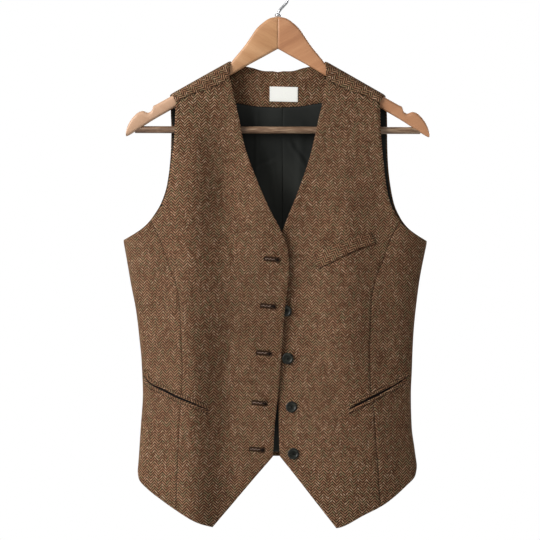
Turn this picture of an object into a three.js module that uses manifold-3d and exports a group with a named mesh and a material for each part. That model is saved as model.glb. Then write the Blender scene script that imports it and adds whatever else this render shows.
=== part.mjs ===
// A tailored herringbone waistcoat hanging on a wooden hanger.
// Millimetres, +Z up. The front faces -Y and the wearer's right side is at -X.
// The origin is the inside top of the hook, where it rests on its rail, and "down" is the distance below it.
import * as THREE from 'three';
import { mergeVertices } from 'three/addons/utils/BufferGeometryUtils.js';
import Module from 'manifold-3d';

const wasm = await Module();
wasm.setup();

// Cloth walls, and the clearances between pieces.
const CLOTH = 1.8;
const LINING = 0.9;
const FACING = 1.0;
const LABEL = 0.6;
const PIECE_GAP = 0.3;
const LINING_DEPTH = 2.75;
const FACING_DEPTH = 2.2;

// The shoulder line: the cloth folds over the hanger's arm along a sloping ridge.
const FOLD_RADIUS = 11;
const FOLD_ARC = FOLD_RADIUS * Math.PI / 2;
const SHOULDER_SLOPE = Math.tan(THREE.MathUtils.degToRad(29.7));
const NECK_POINT = { x: 67.5, down: 124.5 };
const SHOULDER_TIP_X = 153;
const RIDGE_ROUNDING = 12;
const DRAPE_LENGTH = 30;

// Hanger sizes.
const ARM_THICKNESS = 14;
const ARM_ROUNDING = 4.8;
const ARM_EDGE_RISE = 5.4;
const BAR = { radius: 5, down: 222.5, end: 202, socket: 178, sides: 14 };
const WIRE_RADIUS = 1.9;
const HOOK_INNER_RADIUS = 20;
const WOOD_TOP = 62;
const FERRULE = { radius: 4.5, height: 4, sides: 14 };

// Buttons and sewn details.
const BUTTON = { seat: 0.45, sides: 16 };
const LIP = { width: 5.2, slit: 0.6, raise: 1.5 };
const WELT_RAISE = 1.7;
const LABEL_SIZE = { x: 8.5, down: 171.3, width: 40, height: 21 };
const LINING_SEAM_X = 7;
const LINING_HEM = 6;

// Reads a short table whose first line names its columns.
function table(names, rows) {
  const columns = {};
  names.split(' ').forEach((name, index) => {
    columns[name] = rows.map((row) => row[index]);
  });
  return columns;
}

// The body's sections: half widths to the side seams, depths from the side seam, and squareness.
const BODY = table('down right left front back square', [
  [110, 236, 236, 11, 11, 6],
  [187, 235, 235, 12.5, 12.5, 6],
  [222, 234, 234, 15.5, 15, 5],
  [260, 232, 231, 21, 18.5, 4],
  [300, 229, 227, 29, 22, 3.2],
  [340, 224, 220, 37.5, 25, 2.8],
  [379, 218, 212.5, 42, 26.5, 2.6],
  [437, 207.6, 201, 45, 27, 2.6],
  [477, 199.8, 196.5, 44, 26, 2.6],
  [514, 195.3, 193.6, 40, 25, 2.6],
  [551, 191.4, 191.6, 37, 24, 2.6],
  [595, 190, 190.4, 36, 24, 2.6],
  [641, 192.4, 191.5, 39, 25, 2.6],
  [677, 194.5, 196.4, 42, 26, 2.6],
  [709, 197, 201, 43, 26, 2.6],
  [750, 200, 203, 42, 26, 2.6],
  [795, 202, 205, 40, 26, 2.6],
]);

// How far the right front stands off over the left one and its buttons, and the left one tucks under.
const LAP = table('down lift tuck', [
  [230, 0, 0],
  [300, 1.6, 0.3],
  [350, 4.2, 1.2],
  [385, 5.4, 1.5],
  [490, 5.4, 1.5],
  [560, 4, 1.2],
  [620, 3, 0.8],
  [700, 2.2, 0.4],
  [795, 1.2, 0],
]);

// Neck and front edges, from the shoulder seam to the corner of the cutaway and a little way along it.
const RIGHT_EDGE = table('down x', [
  [149, -68], [180, -60.6], [207, -54.4], [240, -47.9], [287, -31.5], [332, -11.9], [366, 6], [387, 14.1],
  [410, 16.8], [432, 16.3], [472, 11.6], [530, 7.1], [599, 1.7], [640, -2.8], [683, -5.3],
  [686, -7.6], [700, -19.6],
]);
const LEFT_EDGE = table('down x', [
  [149, 68], [174, 65], [212, 56.5], [256, 46.7], [309, 28.8], [355, 10.8], [391, -2.8],
  [420, -5], [462, -4.3], [519, -2], [609, 2.1], [682, 4.3],
  [685, 6.4], [699, 17.4],
]);
const CUTAWAY_CORNER = 683;
const RIGHT_POINT = { x: -90, down: 783.5 };
const LEFT_POINT = { x: 84.5, down: 784 };

// Hems of the fronts, from the point to the side seam.
const RIGHT_HEM = table('x down', [
  [-90, 783.5], [-109, 777], [-140.6, 759.5], [-160, 747], [-183, 730], [-195.2, 717], [-197, 709],
]);
const LEFT_HEM = table('x down', [
  [84.5, 784], [90.7, 782.5], [122, 766], [146.3, 754], [156, 748], [185, 724.5], [197.5, 711], [199.8, 700],
]);

// Princess seams, below the point where they leave the armhole.
const PRINCESS_TOP = 352;
const RIGHT_PRINCESS = table('down x', [
  [377, -166], [413, -152], [442, -141], [472, -136], [522, -133.5], [566, -132], [635, -136],
  [706, -139], [759.5, -140.6],
]);
const LEFT_PRINCESS = table('down x', [
  [370, 163], [400, 152], [442, 136.7], [461, 133], [496, 132], [531, 130.6], [579, 131.4],
  [625, 137.3], [660, 139.2], [711, 143.4], [754, 146.3],
]);

// Armholes, front and back, as distances from the middle.
const UNDERARM = 379;
const UNDERARM_X = 215;
const ARMHOLE_TURN = 300;
const FRONT_ARMHOLE = table('down x', [
  [184, 144], [222, 145], [249, 147], [276, 150], [300, 153], [326, 160], [347, 172], [360, 184],
  [371, 200], [379, 215],
]);
const BACK_ARMHOLE = table('down x right left', [
  [173, 153, 0, 0], [190, 153, -1, 1.5], [222, 152, -1, 3.5], [249, 152.5, -1, 3.5], [276, 154.5, -1, 3],
  [300, 158, -1, 2.5], [326, 165, -0.5, 1.5], [347, 176, 0, 1], [360, 187, 0, 0.5], [371, 202, 0, 0],
  [379, 215, 0, 0],
]);

// The shoulder seam in front of the ridge, the back neckline and the back hem.
const SHOULDER_SEAM = table('x down', [
  [68, 149], [90, 162.6], [116, 171], [144, 184],
]);
const NECKLINE = table('x down', [
  [67.5, 124.5], [66, 126.3], [64, 127.8], [60, 129], [52, 130.6], [36, 134], [18, 138.6], [0, 140],
]);
const BACK_HEM = { middle: 685, right: 709, left: 700 };

// The lower edge of the neck facing, and the top of the lining on out to the armhole.
const LINING_TOP = table('x down', [
  [0, 190], [30, 188.4], [66, 183.6], [110, 185], [160, 187],
]);

// Pockets: the line of each jetted opening, and the corners of the chest welt.
const RIGHT_POCKET = table('x down', [
  [-96.6, 618], [-120, 608], [-145, 597.5], [-157, 591.5], [-176.8, 582.5], [-186.5, 573.5],
]);
const LEFT_POCKET = table('x down', [
  [101.2, 616.5], [127.8, 602.5], [154.5, 589], [171.7, 579.5], [186, 569],
]);
const CHEST_WELT = {
  upper: table('x down', [[51.1, 400.5], [92, 382.5], [131.9, 366.7]]),
  lower: table('x down', [[57.8, 418.6], [112, 392.7], [139.6, 382.8]]),
};

const BUTTONS = table('x down', [
  [7.8, 414], [12.5, 479], [15.1, 546], [20.7, 613], [23.6, 679],
]);

// One hanger arm seen from the front: its upper and lower line from the mitre to the tip.
const ARM = table('x top bottom', [
  [0.15, 62, 107.6], [8, 63, 112], [14, 65.3, 115.4], [22, 71, 119.8], [30.5, 79, 124.4],
  [39, 91.5, 129], [47.7, 104, 134], [58, 116.6, 140], [63, 122.6, 143], [66, 126.8, 144.7],
  [68, 128.4, 145.8], [72, 130.3, 148.1], [100, 146.2, 164.6],
  [130, 163.1, 182.1], [156, 177.9, 197.2], [172, 186.8, 206.4], [176.3, 189.1, 209],
  [177.4, 193.4, 209.7], [180.2, 197, 211.4], [183.6, 198.4, 213.6], [187, 197.3, 215.8],
  [190.6, 196, 218], [194.5, 196.8, 220.6], [199, 199.2, 223.6], [203.5, 203.6, 226.5],
  [207.7, 208.8, 229.1], [211.5, 215.4, 231.2], [213.8, 221.6, 232], [214.8, 227, 231.6],
]);

const CLOTH_FINISH = { color: 0x5c4635, roughness: 0.92, metalness: 0 };
const LINING_FINISH = { color: 0x202120, roughness: 0.55, metalness: 0 };
const LABEL_FINISH = { color: 0xf2f2ed, roughness: 0.7, metalness: 0 };
const BUTTON_FINISH = { color: 0x1b1d19, roughness: 0.35, metalness: 0 };
const WOOD_FINISH = { color: 0xc19167, roughness: 0.5, metalness: 0 };
const BAR_FINISH = { color: 0x7f6450, roughness: 0.55, metalness: 0 };
const WIRE_FINISH = { color: 0xb9bcc0, roughness: 0.3, metalness: 1 };

// A smooth line through the rows of a table that never swings past them.
function through(keys, values) {
  const count = keys.length;
  const rise = [];
  for (let i = 0; i < count - 1; i += 1) {
    rise.push((values[i + 1] - values[i]) / (keys[i + 1] - keys[i]));
  }
  const tangent = keys.map((_, i) => {
    if (i === 0) return rise[0];
    if (i === count - 1) return rise[count - 2];
    const product = rise[i - 1] * rise[i];
    return product <= 0 ? 0 : 2 * product / (rise[i - 1] + rise[i]);
  });
  return (key) => {
    const inside = THREE.MathUtils.clamp(key, keys[0], keys[count - 1]);
    let i = 0;
    while (i < count - 2 && inside > keys[i + 1]) i += 1;
    const width = keys[i + 1] - keys[i];
    const s = (inside - keys[i]) / width;
    const near = (1 + 2 * s) * (1 - s) ** 2 * values[i] + s * (1 - s) ** 2 * width * tangent[i];
    const far = s * s * (3 - 2 * s) * values[i + 1] + s * s * (s - 1) * width * tangent[i + 1];
    return near + far;
  };
}

// The same through a drawn line of x and down, taken from 0 to 1 along its length.
function drawn(line) {
  const lengths = [0];
  for (let i = 1; i < line.x.length; i += 1) {
    lengths.push(lengths[i - 1] + Math.hypot(line.x[i] - line.x[i - 1], line.down[i] - line.down[i - 1]));
  }
  const whole = lengths[lengths.length - 1];
  const share = lengths.map((length) => length / whole);
  const x = through(share, line.x);
  const down = through(share, line.down);
  return (s) => ({ x: x(s), down: down(s) });
}

const smooth = (s) => THREE.MathUtils.smoothstep(s, 0, 1);
const rightHalf = through(BODY.down, BODY.right);
const leftHalf = through(BODY.down, BODY.left);
const frontDepth = through(BODY.down, BODY.front);
const backDepth = through(BODY.down, BODY.back);
const squareness = through(BODY.down, BODY.square);
const lapLift = through(LAP.down, LAP.lift);
const lapTuck = through(LAP.down, LAP.tuck);

const RIDGE_TOP = NECK_POINT.down - SHOULDER_SLOPE * Math.hypot(NECK_POINT.x, RIDGE_ROUNDING);
const ridgeDown = (x) => RIDGE_TOP + SHOULDER_SLOPE * Math.hypot(x, RIDGE_ROUNDING);
const halfWidth = (sign, down) => (sign < 0 ? rightHalf(down) : leftHalf(down));

// How far round the section a point lies: 0 in the middle, -1 and 1 at the side seams.
function turnOf(x, down) {
  const share = THREE.MathUtils.clamp(x / halfWidth(x, down), -1, 1);
  return Math.asin(share) / (Math.PI / 2);
}

function crown(share, down) {
  const power = squareness(down);
  return Math.max(0, 1 - Math.abs(share) ** power) ** (1 / power);
}

const overFold = (drop) => (
  drop < FOLD_RADIUS ? Math.sqrt(Math.max(0, FOLD_RADIUS ** 2 - (FOLD_RADIUS - drop) ** 2)) : FOLD_RADIUS
);
const arcOfDrop = (drop) => (
  drop < FOLD_RADIUS ? FOLD_RADIUS * Math.acos(1 - drop / FOLD_RADIUS) : drop - FOLD_RADIUS + FOLD_ARC
);
const dropOfArc = (arc) => (
  arc < FOLD_ARC ? FOLD_RADIUS * (1 - Math.cos(arc / FOLD_RADIUS)) : arc - FOLD_ARC + FOLD_RADIUS
);

function reach(depth, drop, down) {
  return overFold(drop) + (depth(down) - FOLD_RADIUS) * smooth(drop / DRAPE_LENGTH);
}

// The outside of a front at a turn round the section and a distance down.
function frontSurface(standOff) {
  return (turn, down) => {
    const half = halfWidth(turn, down);
    const x = half * Math.sin(turn * Math.PI / 2);
    const depth = reach(frontDepth, down - ridgeDown(x), down) * crown(x / half, down);
    return new THREE.Vector3(x, -depth - standOff(x, down), -down);
  };
}

// The outside of the back, at a distance measured over the shoulder: below 0 in front of the ridge.
function backSurface(turn, arc) {
  const drop = dropOfArc(Math.abs(arc));
  let down = drop + RIDGE_TOP;
  let x = 0;
  for (let pass = 0; pass < 8; pass += 1) {
    x = halfWidth(turn, down) * Math.sin(turn * Math.PI / 2);
    down = drop + ridgeDown(x);
  }
  const depth = reach(arc < 0 ? frontDepth : backDepth, drop, down) * crown(x / halfWidth(turn, down), down);
  return new THREE.Vector3(x, Math.sign(arc) * depth, -down);
}

// The lap's stand-off and tuck build up across each front, between two distances from the middle.
const LIFT_FADE = { from: -115, to: -15 };
const TUCK_FADE = { from: 75, to: 5 };
const fade = (x, { from, to }) => smooth(THREE.MathUtils.clamp((x - from) / (to - from), 0, 1));
const rightFront = frontSurface((x, down) => lapLift(down) * fade(x, LIFT_FADE));
const leftFront = frontSurface((x, down) => -lapTuck(down) * fade(x, TUCK_FADE));
const onFront = (point) => [turnOf(point.x, point.down), point.down];
const onBack = (point) => [turnOf(point.x, point.down), arcOfDrop(point.down - ridgeDown(point.x))];
const onStrap = (point) => [turnOf(point.x, point.down), -arcOfDrop(point.down - ridgeDown(point.x))];

// A point of a surface, moved in by a depth (or out, below 0), and square to it.
const TURN_LIMIT = 0.999;
const TURN_STEP = 4e-4;
const LEVEL_STEP = 0.05;

function layered(surface, turn, level, depth) {
  const point = surface(turn, level);
  const near = THREE.MathUtils.clamp(turn, -TURN_LIMIT, TURN_LIMIT);
  const across = surface(near + TURN_STEP, level).sub(surface(near - TURN_STEP, level));
  const along = surface(near, level + LEVEL_STEP).sub(surface(near, level - LEVEL_STEP));
  const outward = across.cross(along).normalize();
  if (outward.x * point.x + outward.y * point.y < 0) outward.negate();
  return point.addScaledVector(outward, -depth);
}

// Fills the space between four border lines, each a function from 0 to 1.
function filled({ inner, outer, top, bottom }) {
  return (u, v) => [0, 1].map((k) => {
    const sides = (1 - u) * inner(v)[k] + u * outer(v)[k] + (1 - v) * top(u)[k] + v * bottom(u)[k];
    const upper = (1 - v) * ((1 - u) * top(0)[k] + u * top(1)[k]);
    const lower = v * ((1 - u) * bottom(0)[k] + u * bottom(1)[k]);
    return sides - upper - lower;
  });
}

function geometryOf(vertices, faces) {
  const geometry = new THREE.BufferGeometry();
  const places = vertices.flatMap((vertex) => vertex.toArray());
  geometry.setAttribute('position', new THREE.Float32BufferAttribute(places, 3));
  geometry.setIndex(faces);
  let volume = 0;
  for (let i = 0; i < faces.length; i += 3) {
    const [a, b, c] = [0, 1, 2].map((k) => vertices[faces[i + k]]);
    volume += a.dot(new THREE.Vector3().crossVectors(b, c));
  }
  if (volume < 0) {
    for (let i = 0; i < faces.length; i += 3) [faces[i], faces[i + 1]] = [faces[i + 1], faces[i]];
    geometry.setIndex(faces);
  }
  geometry.computeVertexNormals();
  return geometry;
}

// Draws the rim of a grid in a little, so that two panels keep their gap at a seam.
function insetRim(grid, amount) {
  const toward = (from, to) => to.clone().sub(from).normalize().multiplyScalar(amount);
  const rows = grid.length - 1;
  const columns = grid[0].length - 1;
  const moves = grid.map((row) => row.map(() => new THREE.Vector3()));
  for (let i = 0; i <= rows; i += 1) {
    moves[i][0].add(toward(grid[i][0], grid[i][1]));
    moves[i][columns].add(toward(grid[i][columns], grid[i][columns - 1]));
  }
  for (let j = 0; j <= columns; j += 1) {
    moves[0][j].add(toward(grid[0][j], grid[1][j]));
    moves[rows][j].add(toward(grid[rows][j], grid[rows - 1][j]));
  }
  grid.forEach((row, i) => row.forEach((point, j) => point.add(moves[i][j])));
}

// A wall of cloth between two depths below a surface, over a filled outline.
function clothWall({ surface, outline, columns, rows, depth, wall, crowd = 1, inset = PIECE_GAP / 2 }) {
  const layer = (below) => {
    const grid = [];
    for (let i = 0; i <= rows; i += 1) {
      const row = [];
      for (let j = 0; j <= columns; j += 1) {
        const [turn, level] = outline(1 - (1 - j / columns) ** crowd, i / rows);
        row.push(layered(surface, turn, level, below));
      }
      grid.push(row);
    }
    insetRim(grid, inset);
    return grid;
  };
  const vertices = [...layer(depth).flat(), ...layer(depth + wall).flat()];
  const wide = columns + 1;
  const under = wide * (rows + 1);
  const faces = [];
  const quad = (a, b, c, d) => faces.push(a, b, c, a, c, d);
  for (let i = 0; i < rows; i += 1) {
    for (let j = 0; j < columns; j += 1) {
      const corner = i * wide + j;
      quad(corner, corner + 1, corner + wide + 1, corner + wide);
      quad(under + corner + wide, under + corner + wide + 1, under + corner + 1, under + corner);
    }
  }
  for (let j = 0; j < columns; j += 1) {
    const last = rows * wide + j;
    quad(j, under + j, under + j + 1, j + 1);
    quad(last + 1, under + last + 1, under + last, last);
  }
  for (let i = 0; i < rows; i += 1) {
    const first = i * wide;
    const last = first + columns;
    quad(first + wide, under + first + wide, under + first, first);
    quad(last, under + last, under + last + wide, last + wide);
  }
  return geometryOf(vertices, faces);
}

const garment = new THREE.Group();

function addPiece(name, geometry, finish) {
  const mesh = new THREE.Mesh(geometry, new THREE.MeshStandardMaterial(finish));
  mesh.name = name;
  garment.add(mesh);
  return mesh;
}

// Stations down a panel: stretches between named levels, each with its number of rows.
// A crowded stretch has its rows closer together towards its lower end.
function stations(levels, counts, crowded = -1) {
  const values = [levels[0]];
  counts.forEach((count, k) => {
    for (let i = 1; i <= count; i += 1) {
      const share = k === crowded ? 1 - (1 - i / count) ** 2 : i / count;
      values.push(THREE.MathUtils.lerp(levels[k], levels[k + 1], share));
    }
  });
  return (v) => {
    const place = THREE.MathUtils.clamp(v * (values.length - 1), 0, values.length - 1);
    const i = Math.min(Math.floor(place), values.length - 2);
    return values[i] + (values[i + 1] - values[i]) * (place - i);
  };
}

// Armholes: the half widths differ a little, and the curve ends at each side seam.
const frontArmhole = through(FRONT_ARMHOLE.down, FRONT_ARMHOLE.x);
const backArmhole = through(BACK_ARMHOLE.down, BACK_ARMHOLE.x);
const backShift = {
  [-1]: through(BACK_ARMHOLE.down, BACK_ARMHOLE.right),
  [1]: through(BACK_ARMHOLE.down, BACK_ARMHOLE.left),
};
const SHIFT_RANGE = { from: ARMHOLE_TURN, to: UNDERARM };
const sideShift = (sign, down) => (halfWidth(sign, UNDERARM) - UNDERARM_X) * fade(down, SHIFT_RANGE);
const frontArmholeX = (sign, down) => sign * (frontArmhole(down) + sideShift(sign, down));
const backArmholeX = (sign, down) => (
  sign * (backArmhole(down) + backShift[sign](down) + sideShift(sign, down))
);

// The shoulder seam, shared by the front panel and the strap that comes over the shoulder.
const seamLine = drawn(SHOULDER_SEAM);
const shoulderSeam = (sign, u) => {
  const point = seamLine(u);
  return { x: sign * point.x, down: point.down };
};

// Panels are gridded alike along a shared seam, so that their edges run side by side.
const PANEL_COLUMNS = 9;
const SIDE_COLUMNS = 6;
const PANEL_CROWD = 1.3;
const UNDERARM_CROWD = 1.6;
const FRONT_ROWS = { upper: 5, armhole: 4, seam: 14, cutaway: 4 };
const FRONT_WAIST_LEVEL = 690;
const UPPER_LEVEL = 292;
const NECK_LEVEL = 345;
const BACK_ROWS = { strap: 2, fold: 8, neck: 3, upper: 4, armhole: 12, side: 11 };
const NECK_TIP_ARC = 41;
const BACK_MIDDLE_ARCS = [190, 290];

const totalOf = (counts) => counts.reduce((sum, count) => sum + count, 0);

// The share of a hem's length at which it crosses a seam.
function hemShareAt(hemLine, x) {
  let low = 0;
  let high = 1;
  for (let pass = 0; pass < 40; pass += 1) {
    const middle = (low + high) / 2;
    if (Math.abs(hemLine(middle).x) < Math.abs(x)) low = middle;
    else high = middle;
  }
  return (low + high) / 2;
}

// Each front is a centre panel and a side panel, joined at the princess seam.
function buildFront({ sign, side, surface, edge, point, hem, princess }) {
  const princessEnd = princess.down[princess.down.length - 1];
  const sideEnd = hem.down[hem.down.length - 1];
  const edgeX = through([...edge.down, point.down], [...edge.x, point.x]);
  const princessX = through(
    [PRINCESS_TOP, ...princess.down],
    [frontArmholeX(sign, PRINCESS_TOP), ...princess.x],
  );
  const outerX = (down) => (down < PRINCESS_TOP ? frontArmholeX(sign, down) : princessX(down));
  const counts = Object.values(FRONT_ROWS);
  const innerLevel = stations(
    [edge.down[0], UPPER_LEVEL, NECK_LEVEL, CUTAWAY_CORNER, point.down],
    counts,
  );
  const outerLevel = stations(
    [FRONT_ARMHOLE.down[0], ARMHOLE_TURN, PRINCESS_TOP, FRONT_WAIST_LEVEL, princessEnd],
    counts,
  );
  const hemLine = drawn({ x: [...hem.x.slice(0, -1), sign * halfWidth(sign, sideEnd)], down: hem.down });
  const split = hemShareAt(hemLine, princessX(princessEnd));
  const centre = filled({
    inner: (v) => onFront({ x: edgeX(innerLevel(v)), down: innerLevel(v) }),
    outer: (v) => onFront({ x: outerX(outerLevel(v)), down: outerLevel(v) }),
    top: (u) => onFront(shoulderSeam(sign, u)),
    bottom: (u) => onFront(hemLine(u * split)),
  });
  addPiece(`front_${side}_centre`, clothWall({
    surface, outline: centre, columns: PANEL_COLUMNS, rows: totalOf(counts), depth: 0, wall: CLOTH,
    crowd: PANEL_CROWD,
  }), CLOTH_FINISH);
  const seamCounts = counts.slice(2);
  const seamLevel = stations([PRINCESS_TOP, FRONT_WAIST_LEVEL, princessEnd], seamCounts);
  const flank = filled({
    inner: (v) => onFront({ x: princessX(seamLevel(v)), down: seamLevel(v) }),
    outer: (v) => [sign, THREE.MathUtils.lerp(UNDERARM, sideEnd, v)],
    top: (u) => {
      const down = THREE.MathUtils.lerp(UNDERARM, PRINCESS_TOP, (1 - u) ** UNDERARM_CROWD);
      return onFront({ x: frontArmholeX(sign, down), down });
    },
    bottom: (u) => onFront(hemLine(split + (1 - split) * u)),
  });
  addPiece(`front_${side}_side`, clothWall({
    surface, outline: flank, columns: SIDE_COLUMNS, rows: totalOf(seamCounts), depth: 0, wall: CLOTH,
    crowd: PANEL_CROWD,
  }), CLOTH_FINISH);
}

buildFront({
  sign: -1,
  side: 'right',
  surface: rightFront,
  edge: RIGHT_EDGE,
  point: RIGHT_POINT,
  hem: RIGHT_HEM,
  princess: RIGHT_PRINCESS,
});
buildFront({
  sign: 1,
  side: 'left',
  surface: leftFront,
  edge: LEFT_EDGE,
  point: LEFT_POINT,
  hem: LEFT_HEM,
  princess: LEFT_PRINCESS,
});

// The neck edge over the shoulder and round the back, as a distance measured from the ridge.
const arcAt = (x, down) => arcOfDrop(down - ridgeDown(x));
const downAt = (x, arc) => ridgeDown(x) + dropOfArc(Math.abs(arc));
const strapPlace = (x, arc) => [turnOf(x, downAt(x, arc)), arc];
const necklineArcs = NECKLINE.x.map((x, i) => arcAt(x, NECKLINE.down[i]));
const neckSeamArc = arcAt(SHOULDER_SEAM.x[0], SHOULDER_SEAM.down[0]);
const seamTip = { x: SHOULDER_SEAM.x[3], down: SHOULDER_SEAM.down[3] };
const tipSeamArc = arcAt(seamTip.x, seamTip.down);
const neckEdgeX = through([-neckSeamArc, ...necklineArcs], [SHOULDER_SEAM.x[0], ...NECKLINE.x]);
const necklineDown = through([...NECKLINE.x].reverse(), [...NECKLINE.down].reverse());

const hemEnd = (sign) => (sign < 0 ? BACK_HEM.right : BACK_HEM.left);

function hemDown(x) {
  const end = hemEnd(x);
  return BACK_HEM.middle + (end - BACK_HEM.middle) * (x / halfWidth(x, end)) ** 2;
}

// Each back half wraps over its shoulder, follows the neckline, and ends at side seam and hem.
function buildBack(sign, side) {
  const counts = Object.values(BACK_ROWS);
  const neckEnd = necklineArcs[necklineArcs.length - 1];
  const underarmArc = arcAt(halfWidth(sign, UNDERARM), UNDERARM);
  const sideEndArc = arcAt(halfWidth(sign, hemEnd(sign)), hemEnd(sign));
  const middleEndArc = arcAt(0, BACK_HEM.middle);
  const turnArc = arcAt(backArmholeX(sign, ARMHOLE_TURN), ARMHOLE_TURN);
  const innerArc = stations(
    [-neckSeamArc, -FOLD_ARC, FOLD_ARC, neckEnd, ...BACK_MIDDLE_ARCS, middleEndArc],
    counts,
  );
  const armholeStretch = Object.keys(BACK_ROWS).indexOf('armhole');
  const outerArc = stations(
    [-tipSeamArc, -FOLD_ARC, FOLD_ARC, NECK_TIP_ARC, turnArc, underarmArc, sideEndArc],
    counts,
    armholeStretch,
  );
  const outerPlace = (arc) => {
    if (arc >= underarmArc) return [sign, arc];
    if (arc <= 0) {
      return strapPlace(sign * THREE.MathUtils.lerp(SHOULDER_TIP_X, seamTip.x, -arc / tipSeamArc), arc);
    }
    let x = sign * SHOULDER_TIP_X;
    for (let pass = 0; pass < 20; pass += 1) x = backArmholeX(sign, downAt(x, arc));
    return strapPlace(x, arc);
  };
  const outline = filled({
    inner: (v) => {
      const arc = innerArc(v);
      return strapPlace(arc < neckEnd ? sign * neckEdgeX(arc) : 0, arc);
    },
    outer: (v) => outerPlace(outerArc(v)),
    top: (u) => onStrap(shoulderSeam(sign, u)),
    bottom: (u) => {
      const x = sign * halfWidth(sign, hemEnd(sign)) * Math.sin(u * Math.PI / 2);
      return onBack({ x, down: hemDown(x) });
    },
  });
  addPiece(`back_${side}`, clothWall({
    surface: backSurface,
    outline,
    columns: PANEL_COLUMNS,
    rows: totalOf(counts),
    depth: 0,
    wall: CLOTH,
    crowd: PANEL_CROWD,
  }), CLOTH_FINISH);
}

buildBack(-1, 'right');
buildBack(1, 'left');

// The facing hangs inside the back neck, and the two lining halves meet it and run to the hem.
const facingEdge = through(LINING_TOP.x, LINING_TOP.down);
const FACING_TOP_X = 57;
const FACING_LOW_X = 66;
const FACING_GRID = { columns: 12, rows: 5 };
const LINING_TURN = 0.985;
const LINING_ROWS = { upper: 4, armhole: 10, side: 9 };
const LINING_UNDERARM = UNDERARM + 7;
const LINING_LEVEL = 290;

function buildFacing() {
  const sideLine = (sign) => (v) => {
    const x = sign * THREE.MathUtils.lerp(FACING_TOP_X, FACING_LOW_X, v);
    const top = necklineDown(FACING_TOP_X) + PIECE_GAP;
    return onBack({ x, down: THREE.MathUtils.lerp(top, facingEdge(FACING_LOW_X), v) });
  };
  const across = (half, level) => (u) => {
    const x = THREE.MathUtils.lerp(-half, half, u);
    return onBack({ x, down: level(Math.abs(x)) });
  };
  const outline = filled({
    inner: sideLine(-1),
    outer: sideLine(1),
    top: across(FACING_TOP_X, (x) => necklineDown(x) + PIECE_GAP),
    bottom: across(FACING_LOW_X, facingEdge),
  });
  addPiece('back_neck_facing', clothWall({
    surface: backSurface, outline, ...FACING_GRID, depth: FACING_DEPTH, wall: FACING,
  }), CLOTH_FINISH);
}

buildFacing();

function buildLining(sign, side) {
  const topEdge = (x) => facingEdge(Math.abs(x)) + PIECE_GAP;
  const top = LINING_TOP.down[LINING_TOP.down.length - 1];
  const sideEnd = hemEnd(sign) - LINING_HEM;
  const counts = Object.values(LINING_ROWS);
  const armholeStretch = Object.keys(LINING_ROWS).indexOf('armhole');
  const innerLevel = stations(
    [topEdge(LINING_SEAM_X), LINING_LEVEL, LINING_UNDERARM, hemDown(LINING_SEAM_X) - LINING_HEM],
    counts,
  );
  const outerLevel = stations([top, ARMHOLE_TURN, LINING_UNDERARM, sideEnd], counts, armholeStretch);
  const lowered = (down) => down - (LINING_UNDERARM - UNDERARM) * fade(down, SHIFT_RANGE);
  const outerTurn = (down) => (
    down < LINING_UNDERARM ? turnOf(backArmholeX(sign, lowered(down)), down) : sign
  );
  const outerX = (down) => halfWidth(sign, down) * Math.sin(LINING_TURN * outerTurn(down) * Math.PI / 2);
  const outline = filled({
    inner: (v) => onBack({ x: LINING_SEAM_X, down: innerLevel(v) }),
    outer: (v) => onBack({ x: outerX(outerLevel(v)), down: outerLevel(v) }),
    top: (u) => {
      const x = THREE.MathUtils.lerp(LINING_SEAM_X, outerX(top), u);
      return onBack({ x, down: topEdge(x) });
    },
    bottom: (u) => {
      const x = THREE.MathUtils.lerp(LINING_SEAM_X, outerX(sideEnd), Math.sin(u * Math.PI / 2));
      return onBack({ x, down: hemDown(x) - LINING_HEM });
    },
  });
  addPiece(`back_lining_${side}`, clothWall({
    surface: backSurface,
    outline,
    columns: PANEL_COLUMNS,
    rows: totalOf(counts),
    depth: LINING_DEPTH,
    wall: LINING,
    crowd: PANEL_CROWD,
  }), LINING_FINISH);
}

buildLining(-1, 'right');
buildLining(1, 'left');

const LABEL_GRID = { columns: 4, rows: 2 };

function buildLabel() {
  const { x, down, width, height } = LABEL_SIZE;
  addPiece('label', clothWall({
    surface: backSurface,
    outline: (u, v) => onBack({ x: x + (u - 0.5) * width, down: down + (v - 0.5) * height }),
    ...LABEL_GRID,
    depth: FACING_DEPTH + FACING + PIECE_GAP,
    wall: LABEL,
  }), LABEL_FINISH);
}

buildLabel();

// A strip that lies on a front between two drawn lines.
const STRIP_ROWS = 2;
const WELT_COLUMNS = 8;
const LIP_COLUMNS = 12;

function stripOn(surface, upperLine, lowerLine, raise, columns) {
  return clothWall({
    surface,
    outline: (u, v) => {
      const upper = upperLine(u);
      const lower = lowerLine(u);
      return onFront({
        x: THREE.MathUtils.lerp(upper.x, lower.x, v),
        down: THREE.MathUtils.lerp(upper.down, lower.down, v),
      });
    },
    columns,
    rows: STRIP_ROWS,
    depth: -PIECE_GAP - raise,
    wall: raise,
    crowd: PANEL_CROWD,
  });
}

addPiece(
  'chest_welt',
  stripOn(leftFront, drawn(CHEST_WELT.upper), drawn(CHEST_WELT.lower), WELT_RAISE, WELT_COLUMNS),
  CLOTH_FINISH,
);

// A line that runs beside a pocket's opening, a signed distance below it.
const LINE_STEP = 0.01;

function beside(line, distance) {
  return (u) => {
    const here = line(u);
    const before = line(Math.max(0, u - LINE_STEP));
    const after = line(Math.min(1, u + LINE_STEP));
    const run = new THREE.Vector2(after.x - before.x, after.down - before.down).normalize();
    return { x: here.x, down: here.down + distance / Math.abs(run.x) };
  };
}

function buildPocket(side, surface, opening) {
  const line = drawn(opening);
  const half = LIP.slit / 2;
  const lip = (from, to) => stripOn(surface, beside(line, from), beside(line, to), LIP.raise, LIP_COLUMNS);
  addPiece(`pocket_${side}_upper_lip`, lip(-half - LIP.width, -half), CLOTH_FINISH);
  addPiece(`pocket_${side}_lower_lip`, lip(half, half + LIP.width), CLOTH_FINISH);
}

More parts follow.
